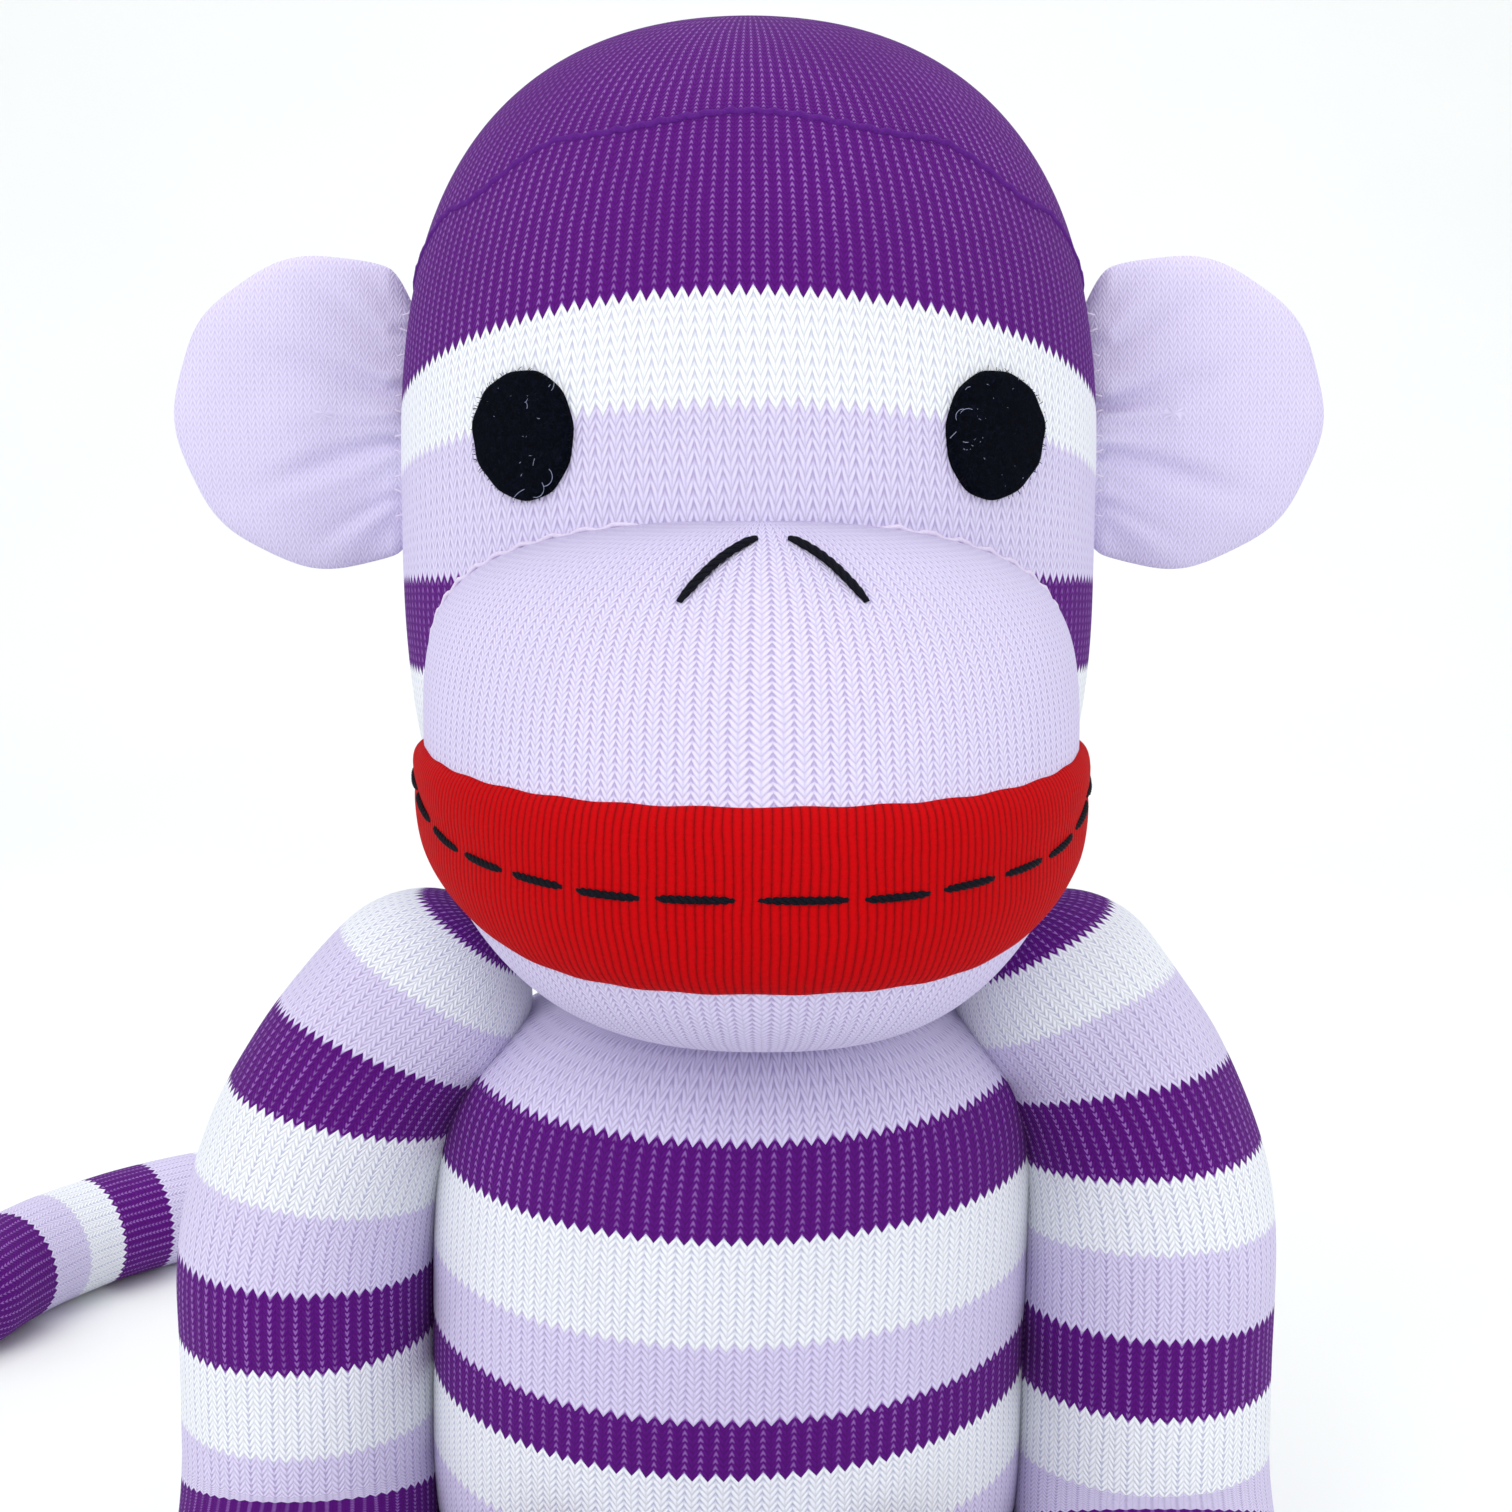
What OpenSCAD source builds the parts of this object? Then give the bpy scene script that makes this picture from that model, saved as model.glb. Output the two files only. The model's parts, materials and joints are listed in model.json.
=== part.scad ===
// Seated sock monkey: stuffed knitted fabric parts sewn together, jointed at the seams.
// Millimetres, +Z up. The monkey faces -Y and sits on the plane z = 0. Left and right are its own,
// so its left is +X. The origin is the middle of the seat, under the torso.

/* [Torso] */
// Width of the belly
torso_w = 96.5; // [80:1:110]
// Depth of the belly, front to back
torso_d = 86; // [70:1:100]
// Height of the widest ring of the belly
belly_z = 48; // [40:1:58]
// Height of the torso's top rim
torso_top = 120.6; // [105:0.1:140]
// Sideways shift of the neck from the seat
lean = 4; // [0:0.5:6]

/* [Neck] */
// Radius of the stuffed ball that fills the neck
neck_r = 25; // [20:0.5:27]
// Height of the neck's pivot above the torso's rim
neck_rise = 5.4; // [4:0.1:8]

/* [Head] */
// Width of the head
head_w = 114.8; // [100:0.1:130]
// Depth of the head
head_d = 104; // [90:1:120]
// Half of the head's height
head_h = 80.5; // [70:0.5:95]
// Height of the head's middle above the neck's pivot
head_rise = 77; // [66:0.5:90]

/* [Muzzle] */
// Widest width of the muzzle
muzzle_w = 100; // [84:1:106]
// Height of the muzzle's middle above the neck's pivot
muzzle_rise = 41.2; // [34:0.1:50]
// Half of the muzzle's height
muzzle_h = 38.8; // [32:0.1:44]
// How far the muzzle stands out of the face
muzzle_out = 46; // [30:1:60]
// Height of the muzzle's fullest ring below its middle
muzzle_droop = 17.2; // [10:0.1:20]

/* [Face] */
// Height of the mouth's upper edge above the neck's pivot
mouth_top = 45; // [38:0.5:50]
// Height of the red mouth band at its middle
mouth_h = 25.5; // [16:0.5:28]
// How much of the band's lower edge rises at its ends
mouth_rise = 13; // [0:0.5:14]
// Distance of each eye from the middle of the face
eye_x = 34.7; // [26:0.1:38]
// Height of the eyes above the neck's pivot
eye_rise = 92; // [84:0.5:98]
// Width of an eye as seen from the front
eye_w = 15.2; // [10:0.2:18]
// Height of an eye
eye_h = 19.4; // [12:0.2:22]
// Thickness of the felt
felt_t = 1.4; // [0.8:0.1:2.5]
// Radius of the embroidery thread
thread_r = 0.6; // [0.4:0.05:0.8]

/* [Ears] */
// Radius of an ear
ear_r = 26; // [20:0.5:30]
// Thickness of an ear at its middle
ear_t = 13; // [8:0.5:16]
// Distance of an ear's middle out from the head's side
ear_out = 13.1; // [10.6:0.5:18.6]
// Height of an ear's middle above the neck's pivot
ear_rise = 95; // [85:1:105]
// Setback of the ears behind the middle of the head
ear_back = 5; // [0:0.5:10]

/* [Arms] */
// Radius of an arm at the shoulder
arm_r = 18.5; // [14:0.5:19]
// Radius of an arm at the wrist
hand_r = 23; // [18:0.5:23]
// How deep the shoulder's ball sinks into the torso's side
shoulder_sink = 12.25; // [6.75:0.5:13.75]
// Height of the shoulders' pivots
shoulder_z = 122.5; // [110:0.5:123]
// How far forward of the torso's middle the shoulders are
shoulder_y = 4; // [0:0.5:8]
// Radius of the curve from the shoulder down into the arm
arm_curve = 73; // [60:1:90]
// Room between the torso's side and a hanging arm's wrist
arm_room = 1.95; // [0.3:0.05:6]
// Radius of the bend at the wrist
wrist_curve = 26; // [24:1:36]
// Angle of the wrist's bend
wrist_turn = 40; // [20:1:85]
// Length of the hand past the wrist's bend
hand_len = 2; // [1:1:24]
// Sideways shift of both shoulders
arm_shift = 3; // [0:0.5:4]

/* [Legs] */
// Radius of a leg
leg_r = 22.5; // [18:0.5:23.5]
// Radius of a leg at the ankle
ankle_r = 20.5; // [16:0.5:22.5]
// Length from the hip's pivot to the toe
leg_len = 170; // [130:1:200]
// Distance of a hip from the middle
hip_x = 26; // [24.5:0.5:28]
// Distance of the hips in front of the torso's middle
hip_y = 46; // [42:1:52]

/* [Tail] */
// Radius of the tail
tail_r = 13.6; // [10:0.1:14]
// Distance of the tail's pivot behind the torso's middle
tail_y = 50; // [47:1:54]
// Length of the straight stretch behind the pivot
tail_straight = 60; // [40:1:80]
// Radius of the tail's curve
tail_curve = 92; // [75:1:105]
// Angle along the curve at which the second pivot lies
tail_joint_at = 60; // [40:1:80]
// Angle along the curve at which the tail ends
tail_end_at = 168; // [120:1:175]

/* [Fabric] */
// Thickness of the knitted skin
skin_t = 1.2; // [0.8:0.1:2]
// Gap between the skin and its stuffing
fill_gap = 0.1; // [0.05:0.05:0.3]
// Gap between parts that turn against each other
joint_gap = 0.4; // [0.3:0.05:0.8]
// Gap between a sewn-on piece and the skin under it
lay_gap = 0.12; // [0.05:0.01:0.3]

/* [Hidden] */
// Places that follow from the sizes above: the ears' and shoulders' from the parts they are sewn to
ear_x = head_w / 2 + ear_out;
shoulder_x = torso_w / 2 + arm_r - shoulder_sink;
arm_hang = torso_w / 2 + hand_r + arm_room;

LEFT = 1;
RIGHT = -1;
ROUND = 30;        // points round a big part
RINGS = 7;         // rings from a big part's middle to each end
TUBE = 20;         // points round an arm
$fn = 64;

PURPLE = "#6d1f95";
LILAC = "#dccfec";
PALE = "#f3f1fa";
RED = "#d2060f";
BLACK = "#0a0a16";
FIBRE = "#f4f1ea";

neck_z = torso_top + neck_rise;
head_z = neck_z + head_rise;
muzzle_z = neck_z + muzzle_rise;
muzzle_top = muzzle_z + muzzle_h;
muzzle_bottom = muzzle_z - muzzle_h;
muzzle_full_z = muzzle_z - muzzle_droop;
eye_z = neck_z + eye_rise;
ear_z = neck_z + ear_rise;
hip_z = leg_r;
tail_z = tail_r;

// ---------------------------------------------------------------- small helpers

function unit(v) = v / norm(v);
function mix(a, b, f) = a + (b - a) * f;
function ease(f) = f * f * (3 - 2 * f);
function bulge(x, n, m) = pow(max(1 - pow(abs(x), n), 0), 1 / m);
function signed_pow(x, e) = sign(x) * pow(abs(x), e);

// Faces of a skin over m rings of n points, with flat ends. Rings run anticlockwise about the way up.
function loft_faces(n, m) = concat(
    [[for (j = [0 : n - 1]) j]],
    [
        for (i = [0 : m - 2], j = [0 : n - 1], k = [0, 1])
            let (a = i * n + j, b = i * n + (j + 1) % n)
                k == 0 ? [a, a + n, b] : [b, a + n, b + n]
    ],
    [[for (j = [n - 1 : -1 : 0]) (m - 1) * n + j]]
);

module loft(rings) {
    polyhedron([for (ring = rings, p = ring) p], loft_faces(len(rings[0]), len(rings)));
}

// A ring of radius r round a point, square to a direction t, started from the side away from ref.
function ring_at(c, t, r, n, ref) = let (u = unit(cross(ref, t)), v = cross(t, u))
    [for (j = [0 : n - 1]) c + r * (cos(360 * j / n) * u + sin(360 * j / n) * v)];

// A tube over stations, each [centre, direction, radius].
module tube(stations, n, ref) {
    loft([for (s = stations) ring_at(s[0], s[1], s[2], n, ref)]);
}

// A thread laid through points, with a flat end at each.
module thread(path, r = thread_r) {
    last = len(path) - 1;
    tube([
        for (i = [0 : last])
            [path[i], unit(path[min(i + 1, last)] - path[max(i - 1, 0)]), r]
    ], 6, [0.13, 0.2, 0.97]);
}

module on_side(side) {
    mirror([side == RIGHT ? 1 : 0, 0, 0]) children();
}

// ---------------------------------------------------------------- torso

function torso_share(z) = z > belly_z
    ? bulge((z - belly_z) / (torso_top - belly_z + 6.4), 5, 2)
    : bulge((belly_z - z) / (belly_z + 12), 3, 2);

// The body leans more and more towards the neck.
function torso_lean(z) = lean * pow(z / neck_z, 2);

function torso_ring(z, inset) = [
    for (j = [0 : ROUND - 1])
        let (a = 360 * j / ROUND, share = torso_share(z))
            [torso_lean(z) + (share * torso_w / 2 - inset) * cos(a),
             (share * torso_d / 2 - inset) * sin(a),
             z]
];

// The torso's outer form, shrunk by an inset. Its foot is the flat seat.
module torso_form(inset = 0) {
    loft(concat(
        [for (i = [0 : RINGS - 1]) torso_ring(mix(inset, belly_z, 1 - cos(90 * i / RINGS)), inset)],
        [for (i = [0 : RINGS]) torso_ring(mix(belly_z, torso_top, sin(90 * i / RINGS)), inset)]
    ));
}

module neck_pocket() {
    translate([lean, 0, neck_z]) sphere(neck_r + joint_gap);
}

module shoulder_pocket(side) {
    r = arm_r + 2 * joint_gap;
    translate([arm_shift + side * shoulder_x, -shoulder_y, shoulder_z]) rotate([0, 90, 0])
        rotate_extrude() {
            intersection() {
                circle(r);
                translate([0, -r]) square([r, 2 * r]);
            }
            seam_circle(side, seam_r + joint_gap / 2);
        }
}

// A bore of radius r up through the seat, with a ball's end h above it.
module ball_bore(r, h) {
    translate([0, 0, h]) rotate_extrude() {
        translate([0, -h - 1]) square([r, h + 1]);
        intersection() {
            circle(r);
            square(r);
        }
    }
}

// Room for the thigh as it hangs straight down from the seat's front.
module hip_pocket(side) {
    translate([side * hip_x, -hip_y, 0]) ball_bore(leg_r + joint_gap, hip_z);
}

module tail_pocket() {
    translate([0, tail_y, 0]) ball_bore(tail_r + joint_gap, tail_z);
}

module pockets() {
    neck_pocket();
    tail_pocket();
    for (side = [LEFT, RIGHT]) {
        shoulder_pocket(side);
        hip_pocket(side);
    }
}

module torso_skin() {
    color(LILAC) difference() {
        torso_form();
        torso_form(skin_t);
        pockets();
    }
}

module torso_stuffing() {
    color(FIBRE) difference() {
        torso_form(skin_t + fill_gap);
        pockets();
    }
}

// Ladder stitches that shut the stuffing hole in the back, above the tail.
module closing_stitches() {
    pitch = 4;
    reach = 1.6;
    color(PALE) for (i = [0 : 7]) {
        z = 46 + pitch * i;
        y = torso_share(z) * torso_d / 2 + thread_r + lay_gap;
        thread([for (f = [-1, 0, 1]) [torso_lean(z) + f * reach, y, z + f * reach / 2]]);
    }
}

// ---------------------------------------------------------------- neck

module neck_stuffing() {
    color(FIBRE) translate([lean, 0, neck_z]) sphere(neck_r);
}

// The drawn-up thread sits in the crease just above the torso's rim.
module neck_gather_thread() {
    drop = neck_rise - 1.6;
    color(LILAC) translate([lean, 0, neck_z - drop]) rotate_extrude()
        translate([neck_r + 1.2, 0]) circle(thread_r);
}

// ---------------------------------------------------------------- head

function head_share(z) = bulge((z - head_z) / head_h, 3, 2.3);

// The face's surface in front of a point at x from the head's middle, at height z.
function head_y(x, z) = let (share = max(head_share(z), 0.001))
    -share * head_d / 2 * sqrt(max(1 - pow(x / (share * head_w / 2), 2), 0));

function face_point(x, z) = [x, head_y(x, z), z];
function face_normal(x, z) = unit(cross(
    face_point(x + 0.5, z) - face_point(x - 0.5, z),
    face_point(x, z + 0.5) - face_point(x, z - 0.5)
));

// The head's outer form, shrunk by an inset, ring by ring.
module head_form(inset = 0) {
    steep = 86.5;
    loft([
        for (i = [-RINGS : RINGS])
            let (rise = head_h * sin(steep * i / RINGS), share = head_share(head_z + rise))
                [
                    for (j = [0 : ROUND - 1])
                        let (a = 360 * j / ROUND)
                            [lean + share * (head_w / 2 - inset) * cos(a),
                             share * (head_d / 2 - inset) * sin(a),
                             head_z + rise * (1 - inset / head_h)]
                ]
    ]);
}

module head_skin() {
    color(PURPLE) difference() {
        head_form();
        head_form(skin_t);
        neck_pocket();
    }
}

module head_stuffing() {
    color(FIBRE) difference() {
        head_form(skin_t + 2 * fill_gap);
        neck_pocket();
    }
}

module eye(side) {
    module pad_rings() {
        loft(concat(
            [for (share = [0.15, 0.6, 1]) pad_ring(share, lay_gap)],
            [for (share = [1, 0.85, 0.15]) pad_ring(share, lay_gap + felt_t)]
        ));
    }
    function pad_ring(share, off) = [
        for (j = [0 : 23])
            let (a = 15 * j, x = eye_x + share * eye_w / 2 * cos(a), z = eye_z + share * eye_h / 2 * sin(a))
                face_point(x, z) + off * face_normal(x, z)
    ];
    color(BLACK) translate([lean, 0, 0]) on_side(side) pad_rings();
}

// ---------------------------------------------------------------- muzzle

function muzzle_half(z) = min(
    muzzle_w / 2 * bulge((z - muzzle_z) / muzzle_h, 4.5, 2.2),
    0.9 * head_share(z) * head_w / 2
);

// How far the muzzle stands out of the face at height z.
function muzzle_depth(z) = muzzle_out * (z > muzzle_full_z
    ? bulge((z - muzzle_full_z) / (muzzle_top - muzzle_full_z), 1.7, 1.25)
    : bulge((muzzle_full_z - z) / (muzzle_full_z - muzzle_bottom), 3.5, 2));

// A point of the muzzle's front: psi is 0 at its left side, 90 in front and 180 at its right side.
function muzzle_point(psi, z, off = 0) =
    let (half = muzzle_half(z), side_y = head_y(half, z), front_y = head_y(0, z) - muzzle_depth(z))
        [(half + off) * signed_pow(cos(psi), 0.85),
         side_y + (front_y - off - side_y) * pow(max(sin(psi), 0), 0.85),
         z];

function muzzle_normal(psi, z) = unit(cross(
    muzzle_point(psi - 1, z) - muzzle_point(psi + 1, z),
    muzzle_point(psi, z + 0.5) - muzzle_point(psi, z - 0.5)
));

function on_muzzle(psi, z, off) = muzzle_point(psi, z) + off * muzzle_normal(psi, z);

MUZZLE_STEPS = 18;
function muzzle_arc(z, off) = [
    for (i = [0 : MUZZLE_STEPS]) muzzle_point(180 - 180 * i / MUZZLE_STEPS, z, off)
];

// The muzzle's heights from its lower end to its upper one, closer together at the ends.
function muzzle_heights(inset) = [
    for (i = [0 : 12]) muzzle_z - (muzzle_h - inset) * 0.985 * cos(15 * i)
];

// The sewn pocket: a bowl whose open back meets the face.
module muzzle_skin() {
    color(LILAC) translate([lean, 0, 0]) loft([
        for (z = muzzle_heights(0.2)) concat(
            [for (p = muzzle_arc(z, 0)) p - [0, lay_gap, 0]],
            [
                for (i = [MUZZLE_STEPS - 1 : -1 : 1])
                    let (p = muzzle_arc(z, -skin_t)[i])
                        [p[0], min(p[1], head_y(p[0], z) - 2 * lay_gap), z]
            ]
        )
    ]);
}

module muzzle_stuffing() {
    inset = skin_t + fill_gap + lay_gap;
    color(FIBRE) translate([lean, 0, 0]) loft([
        for (ring_z = muzzle_heights(0.2))
            let (arc = muzzle_arc(ring_z, -inset), z = mix(ring_z, muzzle_z, 1.6 * inset / muzzle_h)) concat(
                [for (i = [1 : MUZZLE_STEPS - 1]) [arc[i][0], min(arc[i][1], fill_back(arc[i][0], z) - 0.2), z]],
                [for (i = [MUZZLE_STEPS - 1 : -1 : 1]) [arc[i][0], fill_back(arc[i][0], z), z]]
            )
    ]);
}
function fill_back(x, z) = head_y(x, z) - 3 * lay_gap;

// Whip stitching round the pocket's edge.
module muzzle_seam() {
    r = thread_r * 0.7;
    half_loop = [for (i = [4 : 12]) muzzle_heights(1)[i]];
    color(LILAC) translate([lean, 0, 0]) for (side = [LEFT, RIGHT]) on_side(side)
        thread([
            for (z = half_loop)
                let (x = muzzle_half(z), slope = (muzzle_half(z + 0.2) - muzzle_half(z - 0.2)) / 0.4)
                    face_point(x, z) + (r + 2 * lay_gap) * (face_normal(min(x, 0.95 * head_share(z) * head_w / 2), z)
                        + unit([1, 0, -slope]))
        ], r);
}

// ---------------------------------------------------------------- mouth and nose

BAND_END = 7;      // degrees of the muzzle's side left free at each end of the band
band_t = skin_t + 0.4;

function band_low(psi) = neck_z + mouth_top - mouth_h + mouth_rise * pow(abs(cos(psi)), 6);

module mouth_band() {
    across = 3;
    color(RED) translate([lean, 0, 0]) loft([
        for (psi = [180 - BAND_END : -(180 - 2 * BAND_END) / 16 : BAND_END - 0.01]) concat(
            [for (v = [0 : across]) band_point(psi, v / across, 4.5 * lay_gap)],
            [for (v = [across : -1 : 0]) band_point(psi, v / across, 4.5 * lay_gap + band_t)]
        )
    ]);
}
function band_point(psi, v, off) =
    on_muzzle(psi, mix(band_low(psi), neck_z + mouth_top, v), off);

// Running stitches along the middle of the band, which is where the lips would meet.
module mouth_stitches() {
    stitches = 10;
    span = 158;
    gap = 0.16;
    off = 6 * lay_gap + band_t + thread_r;
    color(BLACK) translate([lean, 0, 0]) for (i = [0 : stitches - 1]) {
        from = 90 + span * (i / stitches - 0.5 + gap / stitches / 2);
        to = from + span * (1 - gap) / stitches;
        thread([for (f = [0 : 0.25 : 1]) on_muzzle(mix(from, to, f), stitch_z(mix(from, to, f)), off)]);
    }
}
function stitch_z(psi) = neck_z + mouth_top - 0.46 * mouth_h + 2.5 * pow(cos(psi), 2);

// One curved satin stitch on each side of the nose.
module nostril(side) {
    off = lay_gap + 1.5 * thread_r;
    inner = 4;
    outer = 14;
    top_z = neck_z + 77.6;
    low_z = neck_z + 69.4;
    shift = 2;
    color(BLACK) translate([lean, 0, 0]) thread([
        for (f = [0 : 0.125 : 1])
            let (psi = 90 - shift - side * mix(inner, outer, pow(f, 0.8)),
                 z = mix(top_z, low_z, f) + 0.9 * sin(180 * f))
                on_muzzle(psi, z, off)
    ], 1.25 * thread_r);
}

// ---------------------------------------------------------------- ears

// Distance of an ear's vertical fold line from the head's middle.
fold_x = head_w / 2 + ear_t / 2 + joint_gap + 0.2;

// A pillow-shaped disc, cut round at the side where it is sewn on.
module ear_form(inset = 0) {
    r = ear_r - inset;
    half = ear_t / 2 - inset;
    rim = 3;
    intersection() {
        translate([ear_x, ear_back, ear_z]) rotate([90, 0, 0]) rotate_extrude()
            polygon(concat(
                [for (i = [0 : 10]) let (f = i / 10) [r * sin(90 * f), half * pow(cos(90 * f), 0.62)]],
                [for (i = [9 : -1 : 0]) let (f = i / 10) [r * sin(90 * f), -half * pow(cos(90 * f), 0.62)]]
            ));
        union() {
            translate([fold_x, ear_back - ear_t, ear_z - ear_r - rim])
                cube([3 * ear_r, 2 * ear_t, 2 * (ear_r + rim)]);
            translate([fold_x, ear_back, ear_z - ear_r - rim])
                cylinder(r = ear_t / 2 - inset, h = 2 * (ear_r + rim));
        }
    }
}

module ear_skin(side) {
    color(LILAC) translate([lean, 0, 0]) on_side(side) difference() {
        ear_form();
        ear_form(skin_t * 0.8);
        ear_threads(thread_r * 0.55 + 0.08);
    }
}

module ear_stuffing(side) {
    color(FIBRE) translate([lean, 0, 0]) on_side(side) ear_form(skin_t * 0.8 + 2 * fill_gap);
}

// Half loops of thread that draw the ear's edge up against the head.
module ear_threads(r) {
    pitch = 7;
    for (i = [-2 : 2])
        translate([fold_x, ear_back, ear_z + pitch * i]) rotate([0, 0, 100]) rotate_extrude(angle = 160)
            translate([ear_t / 2 - thread_r * 0.3, 0]) circle(r, $fn = 16);
}

module ear_stitches(side) {
    color(PALE) translate([lean, 0, 0]) on_side(side) ear_threads(thread_r * 0.55);
}

// ---------------------------------------------------------------- arms

seam_r = 0.7;      // radius of the doubled thread at a shoulder
SEAM_SPREAD = 8.5; // radius of the ring of stitches at a shoulder

// Section of the ring of stitches between an arm's end and the torso, as turned about the X axis.
module seam_circle(side, r) {
    reach = sqrt(pow(arm_r + 1.5 * joint_gap + seam_r, 2) - pow(SEAM_SPREAD, 2));
    translate([SEAM_SPREAD, -side * reach]) circle(r, $fn = 24);
}

module shoulder_seam(side) {
    color(PURPLE) translate([arm_shift + side * shoulder_x, -shoulder_y, shoulder_z])
        rotate([0, 90, 0]) rotate_extrude() seam_circle(side, seam_r);
}

bend_z = hand_r + 1 + wrist_curve * sin(wrist_turn) + hand_len * cos(wrist_turn);
mid_r = mix(arm_r, hand_r, 0.85);

// Stations of an arm, as on the left: rounded end, shoulder curve, straight, wrist bend, rounded hand.
function arm_stations(side, inset) =
    let (
        arm_x = arm_hang - side * arm_shift,
        arm_turn = acos(1 - (arm_x - shoulder_x) / arm_curve),
        wrist_z = shoulder_z - arm_curve * sin(arm_turn),
        first = [sin(arm_turn), 0, -cos(arm_turn)],
        last = [0, -sin(wrist_turn), -cos(wrist_turn)],
        start = [shoulder_x, -shoulder_y, shoulder_z],
        wrist = [arm_x, -shoulder_y - wrist_curve * (1 - cos(wrist_turn)),
                 bend_z - wrist_curve * sin(wrist_turn)]
    )
    concat(
        [for (a = [12 : 19.5 : 80]) [start - (arm_r - inset) * cos(a) * first, first, (arm_r - inset) * sin(a)]],
        [
            for (f = [0 : 0.2 : 0.81])
                let (a = arm_turn * (1 - f))
                    [[arm_x - arm_curve * (1 - cos(a)), -shoulder_y, wrist_z + arm_curve * sin(a)],
                     [sin(a), 0, -cos(a)],
                     mix(arm_r, mid_r, ease(f)) - inset]
        ],
        [
            for (f = [0, 0.25, 0.5, 0.75, 1])
                let (b = wrist_turn * f)
                    [[arm_x, -shoulder_y - wrist_curve * (1 - cos(b)), bend_z - wrist_curve * sin(b)],
                     [0, -sin(b), -cos(b)],
                     mix(mid_r, hand_r, f) - inset]
        ],
        [
            for (a = [90 : -19.5 : 12])
                [wrist + (hand_len + (hand_r - inset) * cos(a)) * last, last, (hand_r - inset) * sin(a)]
        ]
    );

module arm_form(side, inset = 0) {
    translate([arm_shift, 0, 0]) on_side(side) tube(arm_stations(side, inset), TUBE, [1, 0, 0.02]);
}

module arm_skin(side) {
    color(LILAC) difference() {
        arm_form(side);
        arm_form(side, skin_t);
    }
}

module arm_stuffing(side) {
    color(FIBRE) arm_form(side, skin_t + 2 * fill_gap);
}

// ---------------------------------------------------------------- legs

SEAM_OUT = 10;     // distance of the hip's stitches from its pivot, along the leg

// Half outline of a leg along +Y from its pivot at the origin, with a round end at each side.
function leg_outline(inset) = let (r = leg_r - inset, toe = leg_len - leg_r) concat(
    [for (a = [-90 : 11.25 : 0]) [max(r * cos(a), 0), r * sin(a)]],
    [for (f = [0.15 : 0.1 : 0.86]) [mix(r, ankle_r - inset, pow(sin(180 * f), 2)), toe * f]],
    [for (a = [0 : 11.25 : 90]) [max(r * cos(a), 0), toe + r * sin(a)]]
);

// A leg lies forward from its hip, its heel and toe on the seat's plane.
module leg_place(side) {
    translate([side * hip_x, -hip_y, hip_z]) rotate([90, 0, 0]) children();
}

module leg_skin(side) {
    color(LILAC) leg_place(side) rotate_extrude() difference() {
        polygon(leg_outline(0));
        polygon(leg_outline(skin_t));
        translate([leg_r - thread_r, SEAM_OUT]) circle(thread_r + fill_gap, $fn = 24);
    }
}

module leg_stuffing(side) {
    color(FIBRE) leg_place(side) rotate_extrude() polygon(leg_outline(skin_t + fill_gap));
}

module hip_seam(side) {
    color(LILAC) leg_place(side) rotate_extrude()
        translate([leg_r - thread_r, SEAM_OUT]) circle(thread_r, $fn = 24);
}

// ---------------------------------------------------------------- tail

BALL_SHOW = 8;     // how far short of the second pivot the tail's first part stops

// The tail runs straight back from its pivot, then curves to the monkey's right. A place along it is
// a length in millimetres from the pivot.
function tail_angle(s) = max(s - tail_straight, 0) / tail_curve * 180 / PI;
function tail_place(s) = let (a = tail_angle(s))
    [-tail_curve * (1 - cos(a)), tail_y + min(s, tail_straight) + tail_curve * sin(a), tail_z];
function tail_way(s) = [-sin(tail_angle(s)), cos(tail_angle(s)), 0];
function along_curve(a) = tail_straight + tail_curve * a * PI / 180;

TAIL_ROUND = 16;   // points round the tail
TAIL_STEP = 15;    // millimetres from ring to ring along it

// A stretch of the tail with a round end at its start, and a round or a flat one at its other end.
module tail_tube(from, to, r, round_end) {
    steps = ceil((to - from) / TAIL_STEP);
    dome = [14 : 19 : 72];
    tube(concat(
        [for (a = dome) [tail_place(from) - r * cos(a) * tail_way(from), tail_way(from), r * sin(a)]],
        [for (i = [0 : steps]) let (s = mix(from, to, i / steps)) [tail_place(s), tail_way(s), r]],
        [
            for (i = [3 : -1 : 0])
                let (a = 14 + 19 * i)
                    if (round_end) [tail_place(to) + r * cos(a) * tail_way(to), tail_way(to), r * sin(a)]
        ]
    ), TAIL_ROUND, [0, 0.02, 1]);
}

tail_joint = along_curve(tail_joint_at);
tail_end = along_curve(tail_end_at);

module tail_root_form(inset = 0) {
    tail_tube(0, tail_joint - BALL_SHOW - inset, tail_r - inset, false);
}

module tail_tip_form(inset = 0) {
    tail_tube(tail_joint, tail_end, tail_r - inset, true);
}

module tail_socket() {
    translate(tail_place(tail_joint)) sphere(tail_r + joint_gap);
}

module tail_seam_ring(r) {
    translate([0, tail_y + SEAM_OUT / 2, tail_z]) rotate([-90, 0, 0]) rotate_extrude()
        translate([tail_r - thread_r, 0]) circle(r, $fn = 24);
}

module tail_root_skin() {
    color(PALE) difference() {
        tail_root_form();
        tail_root_form(skin_t);
        tail_socket();
        tail_seam_ring(thread_r + fill_gap);
    }
}

module tail_root_stuffing() {
    color(FIBRE) difference() {
        tail_root_form(skin_t + fill_gap);
        tail_socket();
    }
}

module tail_seam() {
    color(LILAC) tail_seam_ring(thread_r);
}

module tail_tip_skin() {
    color(PURPLE) difference() {
        tail_tip_form();
        tail_tip_form(skin_t);
    }
}

module tail_tip_stuffing() {
    color(FIBRE) tail_tip_form(skin_t + fill_gap);
}

// ---------------------------------------------------------------- what is drawn

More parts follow.
